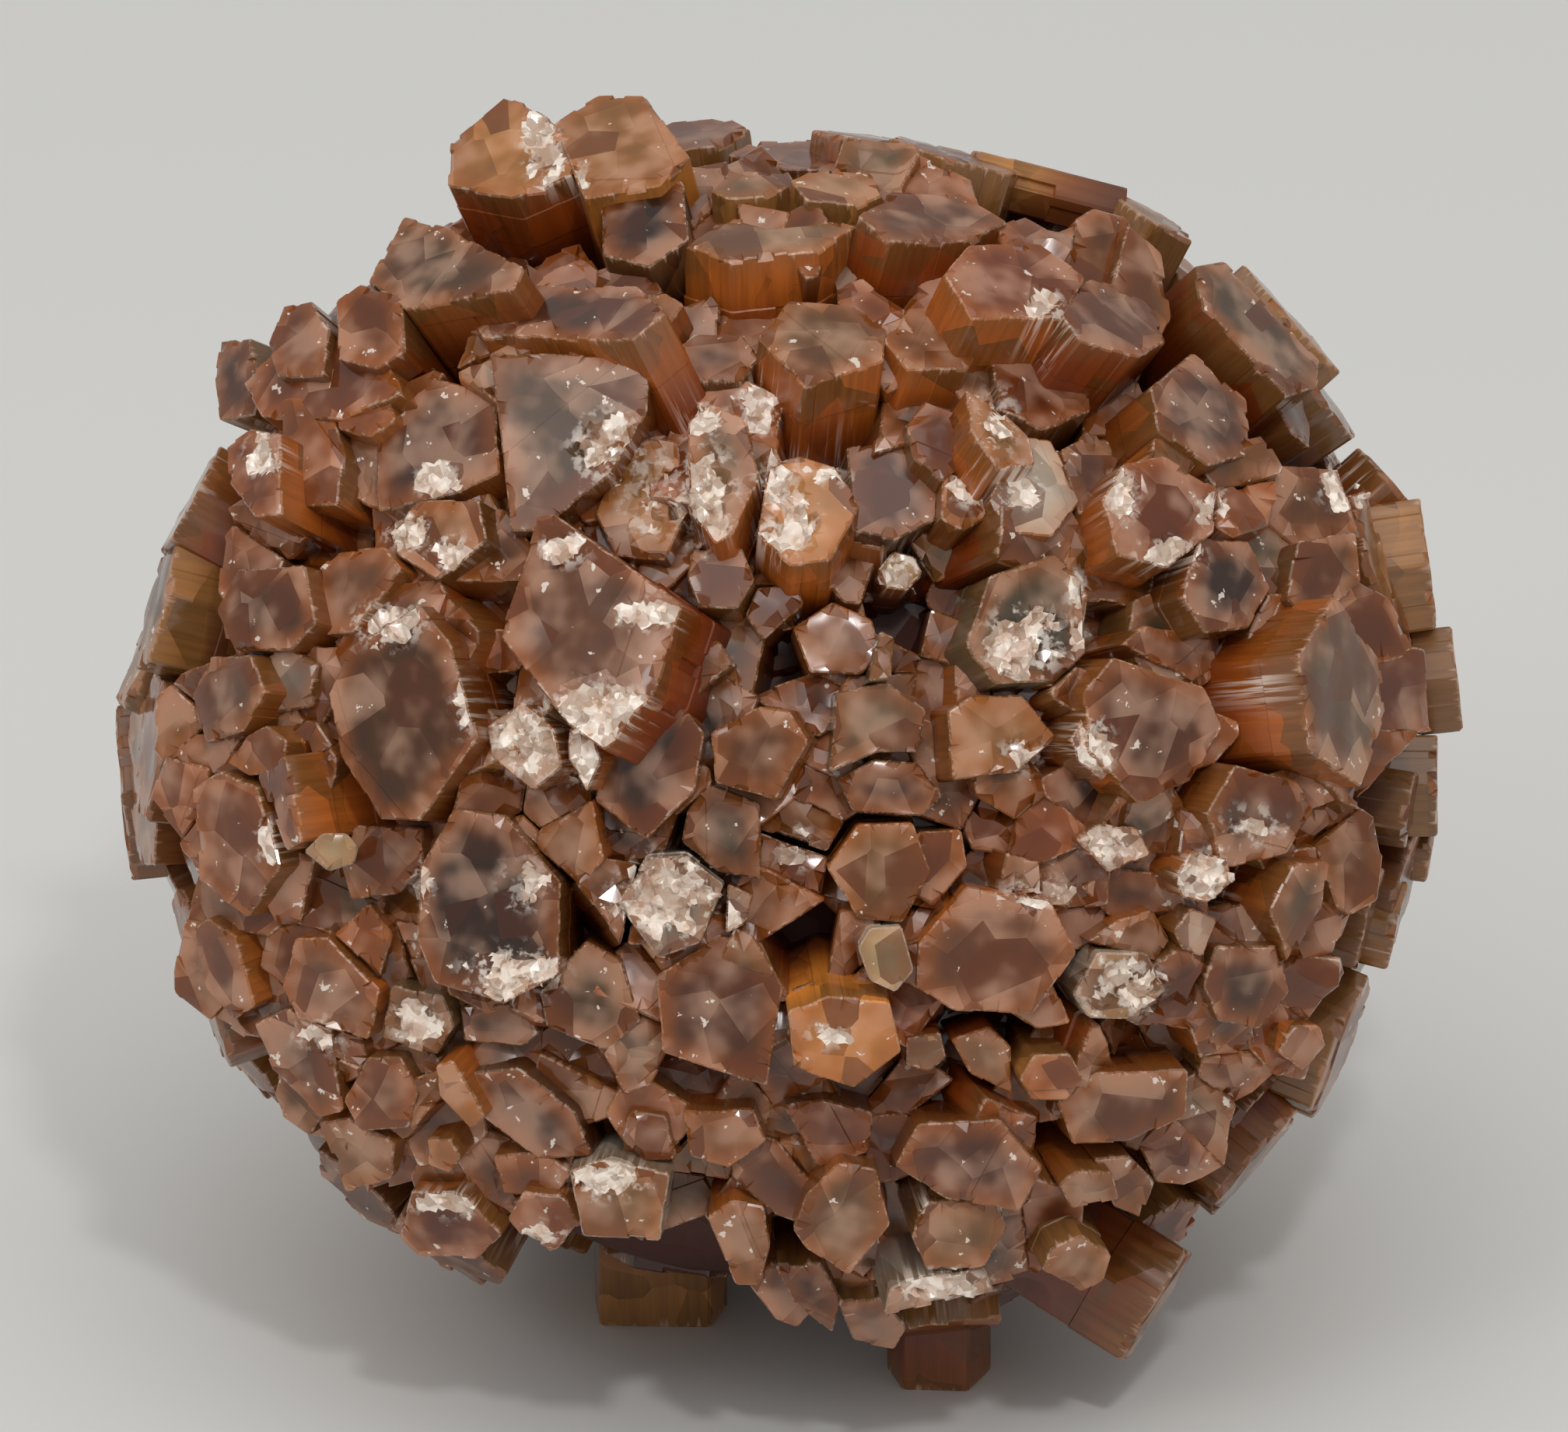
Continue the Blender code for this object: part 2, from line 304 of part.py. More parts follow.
# Crystals of the rim, which show their sides, and the feet that it stands on.
STANDING = (
    standing("left_rim_high", (-32.0, 6.9, -2.0), 155.0, 79.0, 7.0, 11.0, length=12.0),
    standing("left_rim_middle", (-33.0, -2.0, -3.0), 183.0, 76.0, 7.4, 8.6, length=12.0),
    standing("left_rim_back", (-34.2, -2.6, 3.6), 186.0, 92.0, 7.0, 9.0, length=12.0),
    standing("left_rim_low", (-31.7, -7.2, 1.6), 205.0, 86.0, 6.0, 5.0, length=11.0),
    standing("left_rim_tan", (-29.3, 11.8, -5.0), 150.0, 76.0, 4.0, 4.4, length=10.0),
    standing("right_rim_high", (33.0, 9.2, -1.0), 8.0, 90.0, 7.0, 6.8, length=12.0),
    standing("right_rim_side", (30.2, 9.4, -7.0), 14.0, 72.0, 3.6, 7.0, length=11.0),
    standing("right_rim_top", (31.0, 13.6, 0.0), 42.0, 90.0, 6.0, 4.6, length=12.0),
    standing("right_rim_bump", (34.5, 3.3, 0.0), 6.0, 90.0, 6.2, 5.4, length=12.0),
    standing("right_rim_blocks", (33.4, -2.2, -3.0), 0.0, 88.0, 6.6, 5.4, length=12.0),
    standing("right_rim_step", (33.2, -5.6, 1.0), 352.0, 90.0, 6.4, 3.4, length=12.0),
    standing("right_rim_low", (31.4, -9.4, -2.0), 346.0, 88.0, 6.0, 4.6, length=12.0),
    standing("right_rim_inner", (29.9, -9.0, -6.0), 344.0, 84.0, 5.0, 5.4, length=11.0),
    standing("right_bottom_band", (27.6, -13.2, -1.0), 326.0, 82.0, 6.0, 4.2, length=11.0),
    standing("right_bottom_edge", (24.6, -17.6, -1.0), 316.0, 80.0, 7.0, 6.6, length=12.0),
    standing("right_orange_wedge", (22.0, -18.8, -6.0), 304.0, 84.0, 5.0, 3.8, length=11.0),
    standing("low_right_prism", (19.0, -28.8, -7.0), 328.0, 84.0, 6.6, 6.6, length=16.0),
    standing("top_barrel", (9.4, 29.0, -6.0), 166.0, 77.0, 3.6, 2.7, length=8.0),
    standing("top_wedge", (8.2, 28.6, -1.0), 84.0, 86.0, 6.0, 5.0, length=11.0),
    standing("top_right_block", (19.0, 26.9, -5.0), 62.0, 80.0, 4.6, 4.4, length=11.0),
    standing("top_right_tan", (14.6, 28.4, -3.0), 68.0, 84.0, 5.0, 5.0, length=11.0),
    standing("right_tan_prism", (26.0, 21.8, -2.0), 42.0, 86.0, 6.4, 7.4, length=12.0),
    standing("right_upper_edge", (28.0, 17.4, -3.0), 34.0, 84.0, 5.4, 4.2, length=11.0),
    standing("top_middle_back", (1.2, 29.1, 1.0), 88.0, 88.0, 6.0, 8.0, length=11.0),
    standing("left_upper_back", (-24.6, 20.8, 2.0), 140.0, 88.0, 6.4, 6.0, length=11.0),
    standing("low_brown_under", (-17.4, -26.6, -1.0), 236.0, 84.0, 5.0, 4.6, length=11.0),
)

# Upright crystals with flat ends that it stands on: outlines seen from above, across and behind
# the middle of the ball.
Foot = namedtuple("Foot", "name outline length")
FEET = (
    Foot("foot_left", ((-9.6, -7.1), (-3.9, -7.3), (-3.0, -4.6), (-4.2, -1.4), (-8.6, -1.2),
                       (-9.9, -4.0)), 9.0),
    Foot("foot_right", ((6.0, -14.6), (9.4, -14.8), (10.6, -12.2), (9.6, -9.9), (6.6, -9.8),
                        (5.2, -12.0)), 9.0),
    Foot("foot_back_left", ((-12.6, 7.2), (-9.4, 6.8), (-7.4, 9.2), (-8.6, 12.0), (-11.8, 12.6),
                            (-13.8, 10.0)), 11.0),
    Foot("foot_back_right", ((8.0, 8.6), (11.6, 8.0), (13.6, 10.8), (12.2, 13.8), (8.8, 14.0),
                             (6.8, 11.4)), 11.0),
)


def to_world(across, up, back):
    """Millimetres along the viewing directions to a point in metres, +Z up."""
    tilt = math.radians(FACE_ELEVATION)
    middle = Vector(CENTRE)
    point = Vector((
        across,
        back * math.cos(tilt) + up * math.sin(tilt),
        up * math.cos(tilt) - back * math.sin(tilt),
    ))
    return (middle + point) * MM


def rim_share(across, up):
    """0 at the middle of the front, 1 at the rim."""
    return math.hypot(across / HALF_WIDTH, up / HALF_HEIGHT)


def front_back(across, up):
    """How far back the crystal ends are at a place on the front."""
    share = min(rim_share(across, up), 0.985)
    return -HALF_DEPTH * (1.0 - share ** ROUNDNESS) ** (1.0 / ROUNDNESS)


def pointing(toward, lean):
    """A direction from its angle in the front view and its lean from the front direction."""
    toward, lean = math.radians(toward), math.radians(lean)
    return Vector((
        math.sin(lean) * math.cos(toward),
        math.sin(lean) * math.sin(toward),
        -math.cos(lean),
    ))


def facing_corners(crystal):
    """The end face's corners in viewing millimetres, and the way that the crystal points."""
    across = sum(corner[0] for corner in crystal.face) / len(crystal.face)
    up = sum(corner[1] for corner in crystal.face) / len(crystal.face)
    toward = math.degrees(math.atan2(up, across)) + crystal.swing
    lean = RIM_LEAN * rim_share(across, up) ** LEAN_POWER + crystal.lean
    axis = pointing(toward, min(lean, 78.0))
    middle = Vector((across, up, front_back(across, up) - crystal.rise))
    corners = []
    for corner in crystal.face:
        slide = (corner[0] - across) * axis.x + (corner[1] - up) * axis.y
        corners.append(Vector((corner[0], corner[1], middle.z - slide / axis.z)))
    return corners, axis


def standing_corners(crystal):
    """The same, for a crystal given by its thickness."""
    axis = pointing(crystal.toward, crystal.lean)
    front = Vector((0.0, 0.0, -1.0))
    side = axis.cross(front).normalized()
    through = side.cross(axis)
    corners = []
    for index in range(6):
        angle = math.radians(crystal.turn + 30.0 + 60.0 * index)
        corners.append(
            Vector(crystal.end)
            + side * (math.cos(angle) * crystal.wide / 1.732)
            + through * (math.sin(angle) * crystal.deep / 2.0)
        )
    return corners, axis


def new_object(name, mesh_data, collection):
    mesh = bpy.data.meshes.new(name)
    mesh_data.to_mesh(mesh)
    mesh_data.free()
    result = bpy.data.objects.new(name, mesh)
    collection.objects.link(result)
    return result


def prism(name, end_corners, inward, collection):
    """The end face, pushed inward along the crystal's axis."""
    shape = bmesh.new()
    face = shape.faces.new([shape.verts.new(corner) for corner in end_corners])
    pushed = bmesh.ops.extrude_face_region(shape, geom=[face])
    moved = [item for item in pushed["geom"] if isinstance(item, bmesh.types.BMVert)]
    bmesh.ops.translate(shape, verts=moved, vec=inward)
    bmesh.ops.recalc_face_normals(shape, faces=shape.faces)
    return new_object(name, shape, collection)


def view_prism(name, corners, axis, length, collection):
    ends = [to_world(*corner) for corner in corners]
    inward = to_world(*(axis * -length)) - to_world(0.0, 0.0, 0.0)
    return prism(name, ends, inward, collection)


def grow_front(collection):
    for crystal in FACING:
        corners, axis = facing_corners(crystal)
        view_prism(crystal.name, corners, axis, crystal.length, collection)
    for crystal in STANDING:
        corners, axis = standing_corners(crystal)
        view_prism(crystal.name, corners, axis, crystal.length, collection)


def wobble(index, salt):
    """A fixed number from 0 to 1 for each crystal of the back."""
    return (math.sin(index * 12.9898 + salt * 78.233) * 43758.5453) % 1.0


def between(limits, index, salt):
    """A fixed number between two limits for each crystal."""
    return limits[0] + (limits[1] - limits[0]) * wobble(index, salt)


def grow_gaps(collection):
    """Low crystals that fill the gaps between the large ones of the front."""
    index = 0
    rows = round(2.0 * HALF_HEIGHT / GAP_SPACING)
    for row in range(-rows // 2, rows // 2 + 1):
        for column in range(-rows // 2, rows // 2 + 1):
            index += 1
            across = GAP_SPACING * (column + 0.5 * (row % 2) + 0.5 * wobble(index, 11) - 0.25)
            up = GAP_SPACING * 0.87 * (row + 0.5 * wobble(index, 12) - 0.25)
            if rim_share(across, up) < GAP_EDGE:
                gap_crystal(index, across, up, collection)


def gap_crystal(index, across, up, collection):
    toward = math.degrees(math.atan2(up, across))
    lean = RIM_LEAN * rim_share(across, up) ** LEAN_POWER
    sink = between(GAP_SINK, index, 13)
    size = between(GAP_SIZE, index, 14)
    crystal = standing(
        "gap_crystal_%03d" % index, (across, up, front_back(across, up) + sink), toward, lean,
        size, size, turn=60.0 * wobble(index, 15), length=GAP_LENGTH)
    corners, axis = standing_corners(crystal)
    view_prism(crystal.name, corners, axis, crystal.length, collection)


def grow_back(collection):
    """Rings of crystals from the rim to the middle of the back, hidden from the front."""
    index = 0
    for row in range(BACK_ROWS):
        lean = BACK_START + (180.0 - BACK_START) * row / (BACK_ROWS - 1)
        ring = math.sin(math.radians(lean)) * math.tau * (BACK_HALF_WIDTH + HALF_DEPTH) / 2.0
        count = max(1, round(ring / BACK_SPACING))
        for step in range(count):
            index += 1
            toward = 360.0 * (step + 0.5 * (row % 2) + 0.3 * wobble(index, 1)) / count
            back_crystal(index, toward, lean + 7.0 * (wobble(index, 2) - 0.5), collection)


def back_crystal(index, toward, lean, collection):
    out = pointing(toward, lean)
    reach = 1.0 / math.hypot(
        out.x / BACK_HALF_WIDTH, out.y / BACK_HALF_HEIGHT, out.z / HALF_DEPTH)
    fullness = min(max((lean - FULL_FROM) / (FULL_TO - FULL_FROM), 0.0), 1.0)
    reach *= between(BACK_REACH, index, 3) + BACK_FULLNESS * fullness
    size = between(BACK_SIZE, index, 4)
    upright = (to_world(*out) - to_world(0.0, 0.0, 0.0)).z / MM
    drop = 0.7 * size * math.sqrt(max(0.0, 1.0 - upright ** 2)) * MM
    while to_world(*(out * reach)).z - drop < LOWEST_END * MM:
        reach -= STEP_IN
    sway = (-SWAY, SWAY)
    crystal = standing(
        "back_crystal_%03d" % index, out * reach, toward + between(sway, index, 5),
        lean + between(sway, index, 6), size, size * between(BACK_FLATNESS, index, 7),
        turn=60.0 * wobble(index, 8), length=BACK_LENGTH * reach)
    corners, axis = standing_corners(crystal)
    view_prism(crystal.name, corners, axis, crystal.length, collection)


def grow_feet(collection):
    """Upright crystals with flat ends on the surface."""
    for foot in FEET:
        end = [Vector((CENTRE[0] + across, CENTRE[1] + behind, 0.0)) * MM
               for across, behind in foot.outline]
        prism(foot.name, end, Vector((0.0, 0.0, foot.length * MM)), collection)


def grow_core(collection):
    """The massive inside that the crystals grow from."""
    shape = bmesh.new()
    bmesh.ops.create_icosphere(shape, subdivisions=2, radius=1.0)
    half = Vector((HALF_WIDTH, HALF_HEIGHT, HALF_DEPTH)) * CORE_SHARE
    for vert in shape.verts:
        vert.co = to_world(vert.co.x * half.x, vert.co.y * half.y, vert.co.z * half.z)
    bmesh.ops.recalc_face_normals(shape, faces=shape.faces)
    return new_object(NAME, shape, collection)


def join_all(core, growth):
    """One solid from the core and every crystal, without closed pockets."""
    union = core.modifiers.new("grown together", "BOOLEAN")
    union.operation = "UNION"
    union.operand_type = "COLLECTION"
    union.collection = growth
    union.solver = "EXACT"
    bpy.context.view_layer.update()
    evaluated = core.evaluated_get(bpy.context.evaluated_depsgraph_get())
    joined = bpy.data.meshes.new_from_object(evaluated)
    core.modifiers.clear()
    core.data = joined
    shape = bmesh.new()
    shape.from_mesh(joined)
    keep_outer_shell(shape)
    shape.to_mesh(joined)
    shape.free()


def keep_outer_shell(shape):
    """Removes the walls of closed pockets, so that they are filled."""
    waiting = set(shape.verts)
    shells = []
    while waiting:
        edge_of_shell = [waiting.pop()]
        shell = set(edge_of_shell)
        while edge_of_shell:
            vert = edge_of_shell.pop()
            near = {edge.other_vert(vert) for edge in vert.link_edges} - shell
            shell |= near
            edge_of_shell.extend(near)
        waiting -= shell
        shells.append(shell)
    shells.sort(key=len)
    for shell in shells[:-1]:
        bmesh.ops.delete(shape, geom=list(shell), context="VERTS")


def crystal_material():
    material = bpy.data.materials.new("aragonite")
    material.use_nodes = True
    shader = material.node_tree.nodes["Principled BSDF"]
    shader.inputs["Base Color"].default_value = (0.36, 0.14, 0.06, 1.0)
    shader.inputs["Roughness"].default_value = 0.35
    shader.inputs["Metallic"].default_value = 0.0
    return material


def clear_scene():
    for item in list(bpy.data.objects):
        bpy.data.objects.remove(item, do_unlink=True)


def main():
    clear_scene()
    specimen = bpy.data.collections.new("aragonite_specimen")
    growth = bpy.data.collections.new("crystals_to_join")
    for collection in (specimen, growth):
        bpy.context.scene.collection.children.link(collection)
    grow_front(growth)
    grow_gaps(growth)
    grow_back(growth)
    grow_feet(growth)
    for crystal in growth.objects:
        crystal.hide_render = True
        crystal.display_type = "WIRE"
    core = grow_core(specimen)
    join_all(core, growth)
    core.data.materials.append(crystal_material())


main()
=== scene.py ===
"""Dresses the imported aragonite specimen: stepped, striated crystals with white drusy patches.

The crystals are placed in the specimen's own viewing directions, in millimetres: "across" to the
right, "up" and "back", away from the side that shows best. That side looks 24 degrees above the
horizontal, and the camera stands in front of it.
"""
import json
import math
from collections import namedtuple

import bmesh
import bpy
import numpy as np
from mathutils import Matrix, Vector, noise
from mathutils.geometry import delaunay_2d_cdt

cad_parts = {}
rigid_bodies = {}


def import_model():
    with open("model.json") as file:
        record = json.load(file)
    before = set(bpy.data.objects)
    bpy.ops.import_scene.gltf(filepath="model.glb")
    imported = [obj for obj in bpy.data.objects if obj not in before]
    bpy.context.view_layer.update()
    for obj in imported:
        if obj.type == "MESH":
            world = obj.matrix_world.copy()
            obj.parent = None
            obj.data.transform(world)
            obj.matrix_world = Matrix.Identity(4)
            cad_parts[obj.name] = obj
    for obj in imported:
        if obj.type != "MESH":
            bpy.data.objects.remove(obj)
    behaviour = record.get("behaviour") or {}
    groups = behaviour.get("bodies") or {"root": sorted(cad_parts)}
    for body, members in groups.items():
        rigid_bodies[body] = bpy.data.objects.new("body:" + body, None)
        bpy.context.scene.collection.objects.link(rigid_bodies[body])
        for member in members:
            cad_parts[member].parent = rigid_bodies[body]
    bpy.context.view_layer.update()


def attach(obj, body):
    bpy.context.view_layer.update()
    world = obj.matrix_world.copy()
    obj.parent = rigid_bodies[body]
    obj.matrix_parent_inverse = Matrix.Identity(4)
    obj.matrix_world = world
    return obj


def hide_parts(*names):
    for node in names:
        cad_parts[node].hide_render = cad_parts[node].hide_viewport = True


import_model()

NODE = "aragonite_cluster"
MM = 0.001

HALF_WIDTH = 34.6          # of the crystal ends, across
HALF_HEIGHT = 33.2         # of the crystal ends, up
HALF_DEPTH = 25.0          # of the crystal ends, front to back
ROUNDNESS = 2.3            # 2 is an ellipsoid, more is a flatter front
CENTRE = (-0.03, 1.52, 29.9)  # of the ball, from the middle of the surface it stands on
FACE_ELEVATION = 24.0      # of the side that shows best
RIM_LEAN = 86.0            # lean of a crystal at the rim, from the front direction
LEAN_POWER = 1.35          # how the lean grows from the middle to the rim
LOW_LEAN_POWER = 3.0       # the same in the lower half, whose crystals turn later
LOW_FROM = 12.0            # below the middle, where that holds fully
LENGTH = 13.0              # usual length of a crystal whose end face shows
RIM_LENGTH = 12.0          # usual length of one that shows its sides
BACK_HALF_WIDTH = 32.4     # of the crystal ends behind the rim, across
BACK_HALF_HEIGHT = 28.0    # of the crystal ends behind the rim, up
BACK_START = 70.0          # lean of the first ring behind the front crystals
BACK_ROWS = 10             # rings of crystals from there to the middle of the back
BACK_SPACING = 7.4         # between the crystals of the back
BACK_SIZE = (5.6, 9.2)     # thickness of a crystal of the back, least and most
BACK_FLATNESS = (0.8, 1.3)  # its width, as a share of its thickness
BACK_REACH = (0.84, 0.90)  # of its end, as a share of the half sizes near the rim
BACK_FULLNESS = 0.18       # added to that share on the back itself
FULL_FROM = 72.0           # lean where that starts
FULL_TO = 117.0            # lean where it is complete
BACK_LENGTH = 0.45         # its length, as a share of its end's distance from the centre
SWAY = 5.0                 # how far a crystal of the back leans off its own way out
STEP_IN = 0.5              # that a crystal underneath is shortened by, until it is clear
LOWEST_END = 1.4           # free height under the crystals that are not feet

Facing = namedtuple("Facing", "name face rise lean swing length")
Standing = namedtuple("Standing", "name end toward lean deep wide turn length")


def facing(name, face, rise=0.0, lean=0.0, swing=0.0, length=LENGTH):
    """A crystal whose end face shows. The outline holds its corners, across and up."""
    return Facing(name, face, rise, lean, swing, length)


def standing(name, end, toward, lean, deep, wide, turn=0.0, length=RIM_LENGTH):
    """A crystal given by the middle of its end, the way it points and its real thickness."""
    return Standing(name, end, toward, lean, deep, wide, turn, length)


